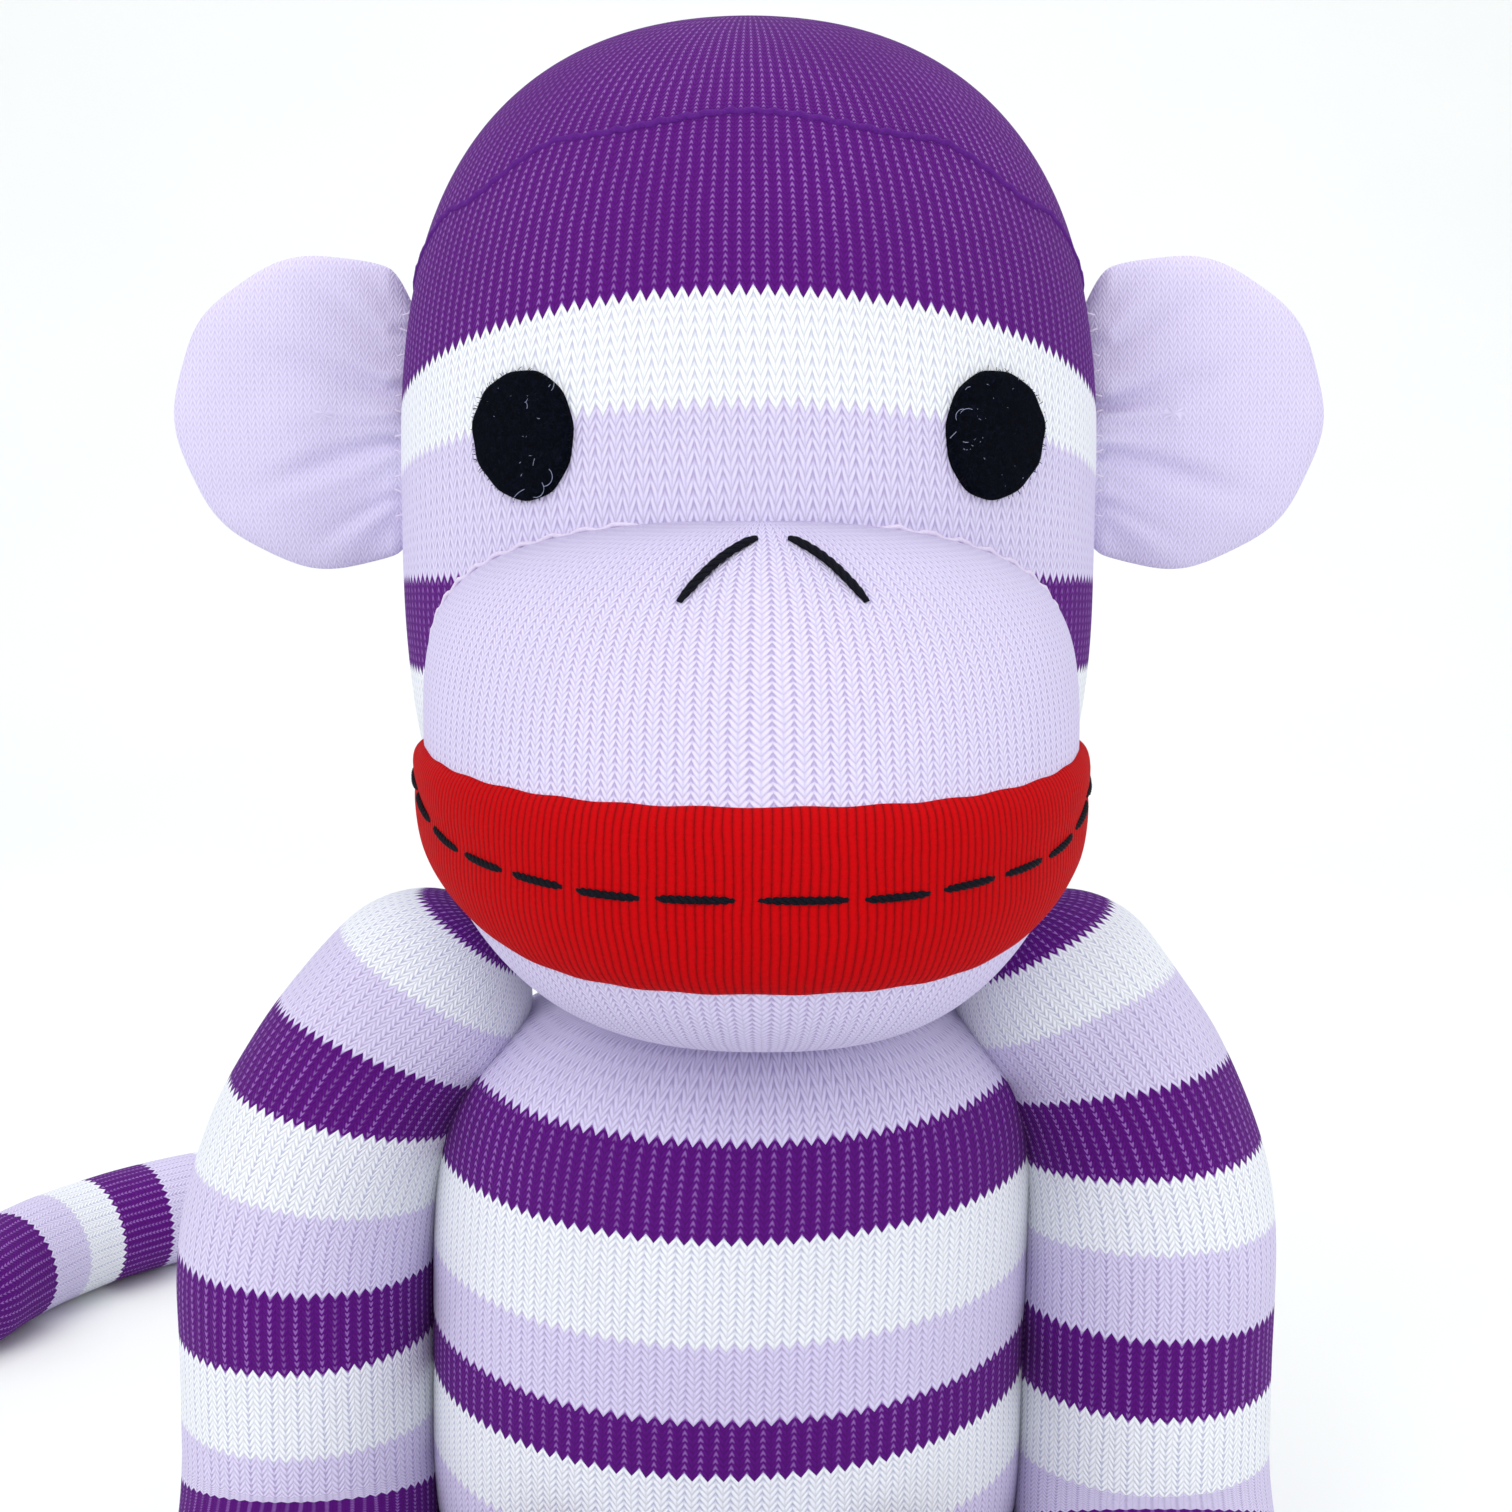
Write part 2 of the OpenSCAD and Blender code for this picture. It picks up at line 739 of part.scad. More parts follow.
torso_skin();
torso_stuffing();
closing_stitches();
neck_stuffing();
neck_gather_thread();
head_skin();
head_stuffing();
muzzle_skin();
muzzle_stuffing();
muzzle_seam();
mouth_band();
mouth_stitches();
nostril(LEFT);  // nostril_left
nostril(RIGHT);  // nostril_right
eye(LEFT);  // eye_left
eye(RIGHT);  // eye_right
ear_skin(LEFT);  // ear_left_skin
ear_stuffing(LEFT);  // ear_left_stuffing
ear_stitches(LEFT);  // ear_left_stitches
ear_skin(RIGHT);  // ear_right_skin
ear_stuffing(RIGHT);  // ear_right_stuffing
ear_stitches(RIGHT);  // ear_right_stitches
shoulder_seam(LEFT);  // shoulder_left_seam
shoulder_seam(RIGHT);  // shoulder_right_seam
arm_skin(LEFT);  // arm_left_skin
arm_stuffing(LEFT);  // arm_left_stuffing
arm_skin(RIGHT);  // arm_right_skin
arm_stuffing(RIGHT);  // arm_right_stuffing
leg_skin(LEFT);  // leg_left_skin
leg_stuffing(LEFT);  // leg_left_stuffing
hip_seam(LEFT);  // hip_left_seam
leg_skin(RIGHT);  // leg_right_skin
leg_stuffing(RIGHT);  // leg_right_stuffing
hip_seam(RIGHT);  // hip_right_seam
tail_root_skin();
tail_root_stuffing();
tail_seam();
tail_tip_skin();
tail_tip_stuffing();
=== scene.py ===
"""Looks of a seated sock monkey: stuffed sock knit, felt eyes and thread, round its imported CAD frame.

Sizes in the classes are millimetres in the frame of the part; meshes are made in metres.
"""

from __future__ import annotations

import json
import logging
import math
import random
from dataclasses import dataclass
from enum import Enum
from typing import Callable, Sequence

import bpy
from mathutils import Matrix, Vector, noise

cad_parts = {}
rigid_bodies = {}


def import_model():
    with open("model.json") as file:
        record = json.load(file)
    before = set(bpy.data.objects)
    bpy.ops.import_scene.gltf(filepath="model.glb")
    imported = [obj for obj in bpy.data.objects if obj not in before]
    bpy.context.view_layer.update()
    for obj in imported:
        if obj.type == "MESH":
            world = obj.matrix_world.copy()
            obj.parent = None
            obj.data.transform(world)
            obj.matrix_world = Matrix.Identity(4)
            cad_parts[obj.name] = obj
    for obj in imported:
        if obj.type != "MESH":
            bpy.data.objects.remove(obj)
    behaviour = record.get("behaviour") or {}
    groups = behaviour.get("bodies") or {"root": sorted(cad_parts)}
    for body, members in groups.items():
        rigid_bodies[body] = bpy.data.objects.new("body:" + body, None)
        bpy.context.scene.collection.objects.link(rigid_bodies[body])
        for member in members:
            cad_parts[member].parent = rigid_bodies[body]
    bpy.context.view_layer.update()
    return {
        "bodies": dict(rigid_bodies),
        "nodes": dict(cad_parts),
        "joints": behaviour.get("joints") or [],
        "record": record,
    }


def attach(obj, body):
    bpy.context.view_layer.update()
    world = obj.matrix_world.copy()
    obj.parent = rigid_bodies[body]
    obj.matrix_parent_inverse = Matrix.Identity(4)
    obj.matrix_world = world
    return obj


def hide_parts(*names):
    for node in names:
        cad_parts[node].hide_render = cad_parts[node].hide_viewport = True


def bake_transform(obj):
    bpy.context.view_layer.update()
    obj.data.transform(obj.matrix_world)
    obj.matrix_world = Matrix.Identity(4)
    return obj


LOG = logging.getLogger("sock_monkey")
MM = 0.001
WALE = 2.04          # width of one column of stitches, from the sock's 168 columns round a 343 mm head
COURSE = 1.15        # height of one row of stitches
CHEVRON = 1.25       # rows that the legs of a stitch rise from the column's middle to its edge

Knit = tuple[float, float]
Ring = list[Vector]


class Side(Enum):
    """The monkey's own sides; the value is the sign of X."""

    LEFT = 1
    RIGHT = -1


class Yarn(Enum):
    """The sock's yarns, each with its colour and that of the gaps, where the white filling shows through with painted
    shade of the hole; that shade makes the white and lilac gaps darker than their yarn.
    """

    PURPLE = ("#5A107B", "#9A6ABB")
    WHITE = ("#F4F7FE", "#C9CCE2")
    LILAC = ("#DDD5F5", "#B7ABD4")


# ---------------------------------------------------------------- small helpers


def linear(code: str) -> tuple[float, float, float, float]:
    """Turns an sRGB hex colour into linear light.

    Args:
        code: the colour as "#RRGGBB".

    Returns:
        Red, green, blue and an alpha of one.
    """
    parts = [int(code[i:i + 2], 16) / 255 for i in (1, 3, 5)]
    r, g, b = (c / 12.92 if c <= 0.04045 else ((c + 0.055) / 1.055) ** 2.4 for c in parts)
    return r, g, b, 1.0


def clamp(x: float, low: float = 0.0, high: float = 1.0) -> float:
    """Keeps x between low and high."""
    return max(low, min(high, x))


def mix(a: float, b: float, f: float) -> float:
    """Goes from a to b as f goes from 0 to 1."""
    return a + (b - a) * f


def ease(f: float) -> float:
    """A smooth step from 0 to 1."""
    f = clamp(f)
    return f * f * (3 - 2 * f)


def bulge(x: float, n: float, m: float) -> float:
    """Half width of a superellipse at x, where its half height and greatest half width are 1."""
    return max(1 - abs(x) ** n, 0) ** (1 / m)


def signed_pow(x: float, e: float) -> float:
    """A power that keeps the sign of x."""
    return math.copysign(abs(x) ** e, x)


def table(x: float, points: Sequence[tuple[float, float]]) -> float:
    """Reads a value from a table of (x, value) rows in rising x, joined by smooth steps."""
    if x <= points[0][0]:
        return points[0][1]
    for (x0, y0), (x1, y1) in zip(points, points[1:]):
        if x <= x1:
            return mix(y0, y1, ease((x - x0) / (x1 - x0)))
    return points[-1][1]


def deselect() -> None:
    """Clears the selection, so that an operator acts only on what is picked next."""
    for thing in bpy.context.selected_objects:
        thing.select_set(False)


def pick(thing: bpy.types.Object) -> None:
    """Makes one object the only selected one, and the active one."""
    deselect()
    thing.select_set(True)
    bpy.context.view_layer.objects.active = thing


def dress(thing: bpy.types.Object, finish: bpy.types.Material) -> None:
    """Gives an object one material."""
    thing.data.materials.clear()
    thing.data.materials.append(finish)


def smooth(thing: bpy.types.Object) -> None:
    """Shades every face of an object smooth."""
    thing.data.polygons.foreach_set("use_smooth", [True] * len(thing.data.polygons))


def subdivide(thing: bpy.types.Object, levels: int = 1) -> None:
    """Rounds a mesh with an applied Subdivision Surface."""
    pick(thing)
    rounder = thing.modifiers.new("Round", "SUBSURF")
    rounder.levels = rounder.render_levels = levels
    bpy.ops.object.modifier_apply(modifier=rounder.name)


def loft(name: str, rings: Sequence[Ring], knit: Sequence[Sequence[Knit]],
         poles: tuple[tuple[Vector, float], tuple[Vector, float]]) -> bpy.types.Object:
    """Builds a closed skin over rings, with knit coordinates in its UV map.

    Args:
        name: the piece's name.
        rings: rows of points in mm, anticlockwise about the way that the rows go.
        knit: for each row, one more pair than it has points: column count and mm along.
        poles: first and last point, each with its mm along.

    Returns:
        The new object, at the origin.
    """
    n, m = len(rings[0]), len(rings)
    points = [p * MM for ring in rings for p in ring] + [poles[0][0] * MM, poles[1][0] * MM]
    faces: list[tuple[int, ...]] = []
    uvs: list[Knit] = []
    for i in range(m - 1):
        for j in range(n):
            k = (j + 1) % n
            faces.append((i * n + j, i * n + k, (i + 1) * n + k, (i + 1) * n + j))
            uvs += [knit[i][j], knit[i][j + 1], knit[i + 1][j + 1], knit[i + 1][j]]
    for j in range(n):
        k = (j + 1) % n
        low, high = knit[0], knit[m - 1]
        faces.append((m * n, k, j))
        uvs += [((low[j][0] + low[j + 1][0]) / 2, poles[0][1]), low[j + 1], low[j]]
        faces.append((m * n + 1, (m - 1) * n + j, (m - 1) * n + k))
        uvs += [((high[j][0] + high[j + 1][0]) / 2, poles[1][1]), high[j], high[j + 1]]
    mesh = bpy.data.meshes.new(name)
    mesh.from_pydata(points, [], faces)
    layer = mesh.uv_layers.new(name="knit")
    layer.data.foreach_set("uv", [c for pair in uvs for c in pair])
    made = bpy.data.objects.new(name, mesh)
    bpy.context.scene.collection.objects.link(made)
    mesh.update()
    smooth(made)
    return made


def stuff(piece: bpy.types.Object, held: Callable[[Vector], bool], pressure: float, cap: float) -> None:
    """Fills a knitted skin from inside by cloth simulation, and caps how far it swells.

    Args:
        piece: the skin, whose mesh is changed.
        held: says whether a point, in mm, is sewn down and stays put.
        pressure: the filling's pressure.
        cap: the furthest that a point may move, in mm.
    """
    rest = [v.co.copy() for v in piece.data.vertices]
    sewn = piece.vertex_groups.new(name="sewn")
    sewn.add([i for i, p in enumerate(rest) if held(p / MM)], 1.0, "REPLACE")
    pick(piece)
    cloth = piece.modifiers.new("Filling", "CLOTH")
    fabric = cloth.settings
    fabric.quality = 5
    fabric.mass = 0.12
    fabric.tension_stiffness = fabric.compression_stiffness = 12
    fabric.bending_stiffness = 0.3
    fabric.use_pressure = True
    fabric.uniform_pressure_force = pressure
    fabric.vertex_group_mass = "sewn"
    fabric.effector_weights.gravity = 0
    cloth.point_cache.frame_start, cloth.point_cache.frame_end = 1, 20
    for frame in range(1, 21):
        bpy.context.scene.frame_set(frame)
    bpy.ops.object.modifier_apply(modifier=cloth.name)
    bpy.context.scene.frame_set(1)
    for vertex, old in zip(piece.data.vertices, rest):
        step = vertex.co - old
        if not step.length < 1.0:
            vertex.co = old
        elif step.length > cap * MM:
            vertex.co = old + step.normalized() * cap * MM
    piece.vertex_groups.clear()
    smooth(piece)


def lumps(p: Vector, grain: float, seed: float) -> float:
    """Gentle unevenness of the filling at a point in mm, between about -1 and 1."""
    return noise.noise(Vector((p.x / grain + seed, p.y / grain, p.z / grain)))


# ---------------------------------------------------------------- finishes


def node(tree: bpy.types.NodeTree, kind: str, links: dict[int | str, object] | None = None,
         **settings: object) -> bpy.types.Node:
    """Adds a node with its settings, values and links.

    Args:
        tree: the tree that gets the node.
        kind: the node's type.
        links: for each input, by name or place, a value or the output that feeds it.
        settings: the node's own properties.

    Returns:
        The new node.
    """
    made = tree.nodes.new(kind)
    for key, value in settings.items():
        setattr(made, key, value)
    for key, value in (links or {}).items():
        if isinstance(value, bpy.types.NodeSocket):
            tree.links.new(value, made.inputs[key])
        else:
            made.inputs[key].default_value = value
    return made


def sums(tree: bpy.types.NodeTree, operation: str, *terms: object, limit: bool = False) -> bpy.types.NodeSocket:
    """Works out one step of arithmetic on values and outputs, and returns its output."""
    return node(tree, "ShaderNodeMath", dict(enumerate(terms)), operation=operation, use_clamp=limit).outputs[0]


def blank(name: str) -> tuple[bpy.types.Material, bpy.types.NodeTree, bpy.types.Node]:
    """Makes an empty node material; returns it, its tree and its Principled shader."""
    made = bpy.data.materials.new(name)
    made.use_nodes = True
    tree = made.node_tree
    return made, tree, tree.nodes["Principled BSDF"]


def stops(tree: bpy.types.NodeTree, place: bpy.types.NodeSocket,
          bands: Sequence[tuple[float, str]]) -> bpy.types.NodeSocket:
    """A ramp of plain bands.

    Args:
        tree: the material's tree.
        place: where along the bands, from 0 to 1.
        bands: the start of each band, from 0, and its colour.

    Returns:
        The ramp's colour.
    """
    ramp = node(tree, "ShaderNodeValToRGB", {0: place})
    ramp.color_ramp.interpolation = "CONSTANT"
    ramp.color_ramp.elements.remove(ramp.color_ramp.elements[1])
    for i, (start, colour) in enumerate(bands):
        step = ramp.color_ramp.elements[0] if i == 0 else ramp.color_ramp.elements.new(start)
        step.position = start
        step.color = linear(colour)
    return ramp.outputs["Color"]


@dataclass(frozen=True)
class SockKnit:
    """Cotton jersey knitted on a fine sock machine: matt V-shaped stitches in hoops of colour.

    The stretch over the filling opens a gap in each stitch, where the white filling shows, its colour darkened by
    painted shade of the hole.
    """

    name: str
    bands: tuple[tuple[float, Yarn], ...]  # start of each hoop in mm along the piece
    end: float                             # mm along at the piece's end
    gap: float = 0.8                       # strength of the see-through gaps
    rib: float = 0.0                       # how much weaker they are on every second column
    relief: float = 0.55                   # strength of the bump

    def make(self) -> bpy.types.Material:
        """Builds the material."""
        made, tree, shader = blank(self.name)
        uv = node(tree, "ShaderNodeUVMap", uv_map="knit").outputs[0]
        axes = node(tree, "ShaderNodeSeparateXYZ", {0: uv})
        place = node(tree, "ShaderNodeTexCoord").outputs["Object"]
        # Loose yarn wanders by a tenth of a column.
        drift = node(tree, "ShaderNodeTexNoise", {"Vector": place, "Scale": 240.0, "Detail": 1.0}).outputs["Fac"]
        column = sums(tree, "MULTIPLY_ADD", drift, 0.22, axes.outputs[0])
        across = sums(tree, "ABSOLUTE", sums(tree, "MULTIPLY_ADD", sums(tree, "FRACT", column), 2.0, -1.0))
        row = sums(tree, "MULTIPLY_ADD", across, CHEVRON,
                   sums(tree, "MULTIPLY_ADD", drift, 0.35, sums(tree, "DIVIDE", axes.outputs[1], COURSE)))
        first, last = self.bands[0][0], self.end
        along = sums(tree, "DIVIDE", sums(tree, "SUBTRACT", sums(tree, "MULTIPLY", sums(tree, "FLOOR", row), COURSE),
                                          first), last - first)
        spots = [((start - first) / (last - first), yarn) for start, yarn in self.bands]
        yarn = stops(tree, along, [(start, kind.value[0]) for start, kind in spots])
        # Gap colours: the white filling seen through each stitch, with painted shade of the hole in them.
        fill = stops(tree, along, [(start, kind.value[1]) for start, kind in spots])
        phase = sums(tree, "FRACT", row)
        crest = sums(tree, "POWER", sums(tree, "SINE", sums(tree, "MULTIPLY", phase, math.pi)), 0.6)
        flank = sums(tree, "POWER", sums(tree, "ABSOLUTE", sums(tree, "MULTIPLY_ADD", across, 2.0, -1.0)), 4.0)
        strand = sums(tree, "MULTIPLY", crest, sums(tree, "MULTIPLY_ADD", flank, -0.55, 1.0))
        edge = sums(tree, "MINIMUM", phase, sums(tree, "SUBTRACT", 1.0, phase))
        spread = sums(tree, "ADD", sums(tree, "POWER", sums(tree, "DIVIDE", across, 0.42), 2.0),
                      sums(tree, "POWER", sums(tree, "DIVIDE", edge, 0.36), 2.0))
        hole = sums(tree, "SUBTRACT", 1.0, spread, limit=True)
        second = sums(tree, "GREATER_THAN", sums(tree, "FRACT", sums(tree, "MULTIPLY", column, 0.5)), 0.5)
        patch = node(tree, "ShaderNodeTexNoise", {"Vector": place, "Scale": 38.0, "Detail": 2.0}).outputs["Fac"]
        open_up = sums(tree, "MULTIPLY", sums(tree, "MULTIPLY_ADD", second, -self.rib, 1.0),
                       sums(tree, "MULTIPLY_ADD", patch, 1.4, 0.25))
        see = sums(tree, "MULTIPLY", hole, sums(tree, "MULTIPLY", open_up, self.gap * 2.0), limit=True)
        fibre = node(tree, "ShaderNodeTexNoise", {"Vector": place, "Scale": 2600.0, "Detail": 2.0}).outputs["Fac"]
        # Painted shade: the yarn colour is darkened in the grooves between the strands of each stitch and at the column
        # edges (strand), with random tone from the fibre and patch noise.
        shade = sums(tree, "MULTIPLY_ADD", strand, 0.26,
                     sums(tree, "MULTIPLY_ADD", fibre, 0.12, sums(tree, "MULTIPLY_ADD", patch, 0.1, 0.63)))
        lit = node(tree, "ShaderNodeMix", {0: 1.0, 6: yarn, 7: shade}, data_type="RGBA", blend_type="MULTIPLY")
        seen = node(tree, "ShaderNodeMix", {0: see, 6: lit.outputs[2], 7: fill}, data_type="RGBA")
        tree.links.new(seen.outputs[2], shader.inputs["Base Color"])
        relief = sums(tree, "ADD", sums(tree, "MULTIPLY_ADD", hole, -0.5, strand), sums(tree, "MULTIPLY", fibre, 0.25))
        bump = node(tree, "ShaderNodeBump", {"Height": relief, "Strength": self.relief, "Distance": 0.4 * MM})
        tree.links.new(bump.outputs[0], shader.inputs["Normal"])
        cotton(shader)
        return made


def cotton(shader: bpy.types.Node) -> None:
    """Sets a shader to matt cotton with a soft nap."""
    shader.inputs["Roughness"].default_value = 0.88
    shader.inputs["IOR"].default_value = 1.53
    shader.inputs["Specular IOR Level"].default_value = 0.08
    shader.inputs["Sheen Weight"].default_value = 0.04
    shader.inputs["Sheen Roughness"].default_value = 0.5


@dataclass(frozen=True)
class RibKnit:
    """Fine red cotton rib, pulled tight: narrow upright ribs, almost no gaps, with painted shade in the grooves between
    the ribs.
    """

    name: str
    colour: str = "#BC0006"
    # Painted shade: the darker red laid into the grooves between the ribs.
    painted_groove_shade: str = "#6E0005"
    spacing: float = 1.25  # mm from rib to rib

    def make(self) -> bpy.types.Material:
        """Builds the material."""
        made, tree, shader = blank(self.name)
        axes = node(tree, "ShaderNodeSeparateXYZ", {0: node(tree, "ShaderNodeUVMap", uv_map="knit").outputs[0]})
        place = node(tree, "ShaderNodeTexCoord").outputs["Object"]
        drift = node(tree, "ShaderNodeTexNoise", {"Vector": place, "Scale": 90.0, "Detail": 2.0}).outputs["Fac"]
        column = sums(tree, "MULTIPLY_ADD", drift, 0.9, sums(tree, "DIVIDE", axes.outputs[0], self.spacing))
        rib = sums(tree, "ABSOLUTE", sums(tree, "SINE", sums(tree, "MULTIPLY", column, math.pi)))
        rows = sums(tree, "SINE", sums(tree, "MULTIPLY", axes.outputs[1], 2 * math.pi / 0.8))
        fibre = node(tree, "ShaderNodeTexNoise", {"Vector": place, "Scale": 2200.0, "Detail": 2.0}).outputs["Fac"]
        depth = sums(tree, "MULTIPLY_ADD", fibre, 0.5, sums(tree, "POWER", rib, 0.5))
        # Painted shade: the colour falls to the darker groove red where the rib is low; the fibre noise adds random
        # tone.
        colour = node(tree, "ShaderNodeMix", {0: sums(tree, "SUBTRACT", depth, 0.22, limit=True),
                                              6: linear(self.painted_groove_shade), 7: linear(self.colour)}, data_type="RGBA")
        tree.links.new(colour.outputs[2], shader.inputs["Base Color"])
        relief = sums(tree, "MULTIPLY_ADD", rows, 0.06, depth)
        bump = node(tree, "ShaderNodeBump", {"Height": relief, "Strength": 0.5, "Distance": 0.35 * MM})
        tree.links.new(bump.outputs[0], shader.inputs["Normal"])
        cotton(shader)
        shader.inputs["Sheen Weight"].default_value = 0.0
        return made


@dataclass(frozen=True)
class Felt:
    """Pressed wool felt: matted fibres with no weave, very matt."""

    name: str
    colour: str = "#020409"
    dust: str = "#161B2E"

    def make(self) -> bpy.types.Material:
        """Builds the material."""
        made, tree, shader = blank(self.name)
        place = node(tree, "ShaderNodeTexCoord").outputs["Object"]
        matted = node(tree, "ShaderNodeTexNoise", {"Vector": place, "Scale": 1500.0, "Detail": 5.0,
                                                   "Roughness": 0.75, "Distortion": 1.2}).outputs["Fac"]
        light = sums(tree, "POWER", matted, 5.0)
        colour = node(tree, "ShaderNodeMix", {0: sums(tree, "MULTIPLY", light, 5.0, limit=True),
                                              6: linear(self.colour), 7: linear(self.dust)}, data_type="RGBA")
        tree.links.new(colour.outputs[2], shader.inputs["Base Color"])
        bump = node(tree, "ShaderNodeBump", {"Height": matted, "Strength": 0.9, "Distance": 0.5 * MM})
        tree.links.new(bump.outputs[0], shader.inputs["Normal"])
        shader.inputs["Roughness"].default_value = 0.97
        shader.inputs["Specular IOR Level"].default_value = 0.04
        shader.inputs["IOR"].default_value = 1.55
        return made


@dataclass(frozen=True)
class Thread:
    """Spun cotton thread: fine twisted fibres with a slight gloss along them."""

    name: str
    colour: str
    light: str

    def make(self) -> bpy.types.Material:
        """Builds the material."""
        made, tree, shader = blank(self.name)
        place = node(tree, "ShaderNodeTexCoord").outputs["Object"]
        fibre = node(tree, "ShaderNodeTexNoise", {"Vector": place, "Scale": 3200.0, "Detail": 2.0}).outputs["Fac"]
        colour = node(tree, "ShaderNodeMix", {0: fibre, 6: linear(self.colour), 7: linear(self.light)},
                      data_type="RGBA")
        tree.links.new(colour.outputs[2], shader.inputs["Base Color"])
        bump = node(tree, "ShaderNodeBump", {"Height": fibre, "Strength": 0.5, "Distance": 0.15 * MM})
        tree.links.new(bump.outputs[0], shader.inputs["Normal"])
        shader.inputs["Roughness"].default_value = 0.8
        shader.inputs["Specular IOR Level"].default_value = 0.12
        shader.inputs["IOR"].default_value = 1.53
        return made


def hoops(start: float, end: float, first: Yarn, width: float = 14.0) -> tuple[tuple[float, Yarn], ...]:
    """Even hoops in the sock's order: purple, white, lilac.

    Args:
        start: mm along at which the first hoop begins.
        end: mm along beyond which no hoop begins.
        first: the first hoop's yarn.
        width: a hoop's width in mm.

    Returns:
        The start and yarn of each hoop.
    """
    order = [Yarn.PURPLE, Yarn.WHITE, Yarn.LILAC]
    turn = order.index(first)
    count = int((end - start) / width) + 1
    return tuple((start + width * i, order[(turn + i) % 3]) for i in range(count))


# ---------------------------------------------------------------- threads


def strand(name: str, path: Sequence[Vector], radius: float, loop: bool = False, sides: int = 2,
           shown: bool = True) -> bpy.types.Object:
    """A round strand along points.

    Args:
        name: the object's name.
        path: its points in mm.
        radius: its radius in mm.
        loop: whether it closes on itself.
        sides: steps round a quarter of the strand.
        shown: whether its ends are closed.

    Returns:
        The strand as a mesh.
    """
    curve = bpy.data.curves.new(name, "CURVE")
    curve.dimensions = "3D"
    curve.bevel_depth = radius * MM
    curve.bevel_resolution = sides
    curve.use_fill_caps = shown and not loop
    line = curve.splines.new("POLY")
    line.points.add(len(path) - 1)
    for point, place in zip(line.points, path):
        point.co = (*(place * MM), 1.0)
    line.use_cyclic_u = loop
    made = bpy.data.objects.new(name, curve)
    bpy.context.scene.collection.objects.link(made)
    pick(made)
    bpy.ops.object.convert(target="MESH")
    made = bpy.context.view_layer.objects.active
    smooth(made)
    return made


def plied(name: str, path: Sequence[Vector], radius: float, plies: int = 3, lay: float = 3.4) -> bpy.types.Object:
    """A twisted thread: several plies wound round a path.

    Args:
        name: the object's name.
        path: its points in mm, closely spaced.
        radius: the whole thread's radius in mm.
        plies: the number of plies.
        lay: mm along in which a ply goes once round.

    Returns:
        The thread as one mesh.
    """
    thin = radius / (1 + 1 / math.sin(math.pi / plies)) * 1.12
    parts = []
    for ply in range(plies):
        run, line = 0.0, []
        for i, point in enumerate(path):
            if i:
                run += (point - path[i - 1]).length
            way = (path[min(i + 1, len(path) - 1)] - path[max(i - 1, 0)]).normalized()
            up = way.cross(Vector((0.1, 0.97, 0.2))).normalized()
            out = way.cross(up)
            turn = 2 * math.pi * (run / lay + ply / plies)
            tuck = min(1.0, 0.35 + 1.3 * min(i, len(path) - 1 - i) / len(path) * 4)
            line.append(point + (radius - thin) * tuck * (math.cos(turn) * up + math.sin(turn) * out))
        parts.append(strand(f"{name}.{ply}", line, thin))
    return join(name, parts)


def join(name: str, parts: Sequence[bpy.types.Object]) -> bpy.types.Object:
    """Joins meshes into one object of the given name."""
    deselect()
    for part in parts:
        part.select_set(True)
    bpy.context.view_layer.objects.active = parts[0]
    bpy.ops.object.join()
    made = bpy.context.view_layer.objects.active
    made.name = name
    return made


def fine(path: Sequence[Vector], step: float) -> list[Vector]:
    """Points a step apart along a path in mm."""
    out = [path[0]]
    for a, b in zip(path, path[1:]):
        count = max(1, round((b - a).length / step))
        out += [a.lerp(b, (i + 1) / count) for i in range(count)]
    return out


# ---------------------------------------------------------------- head


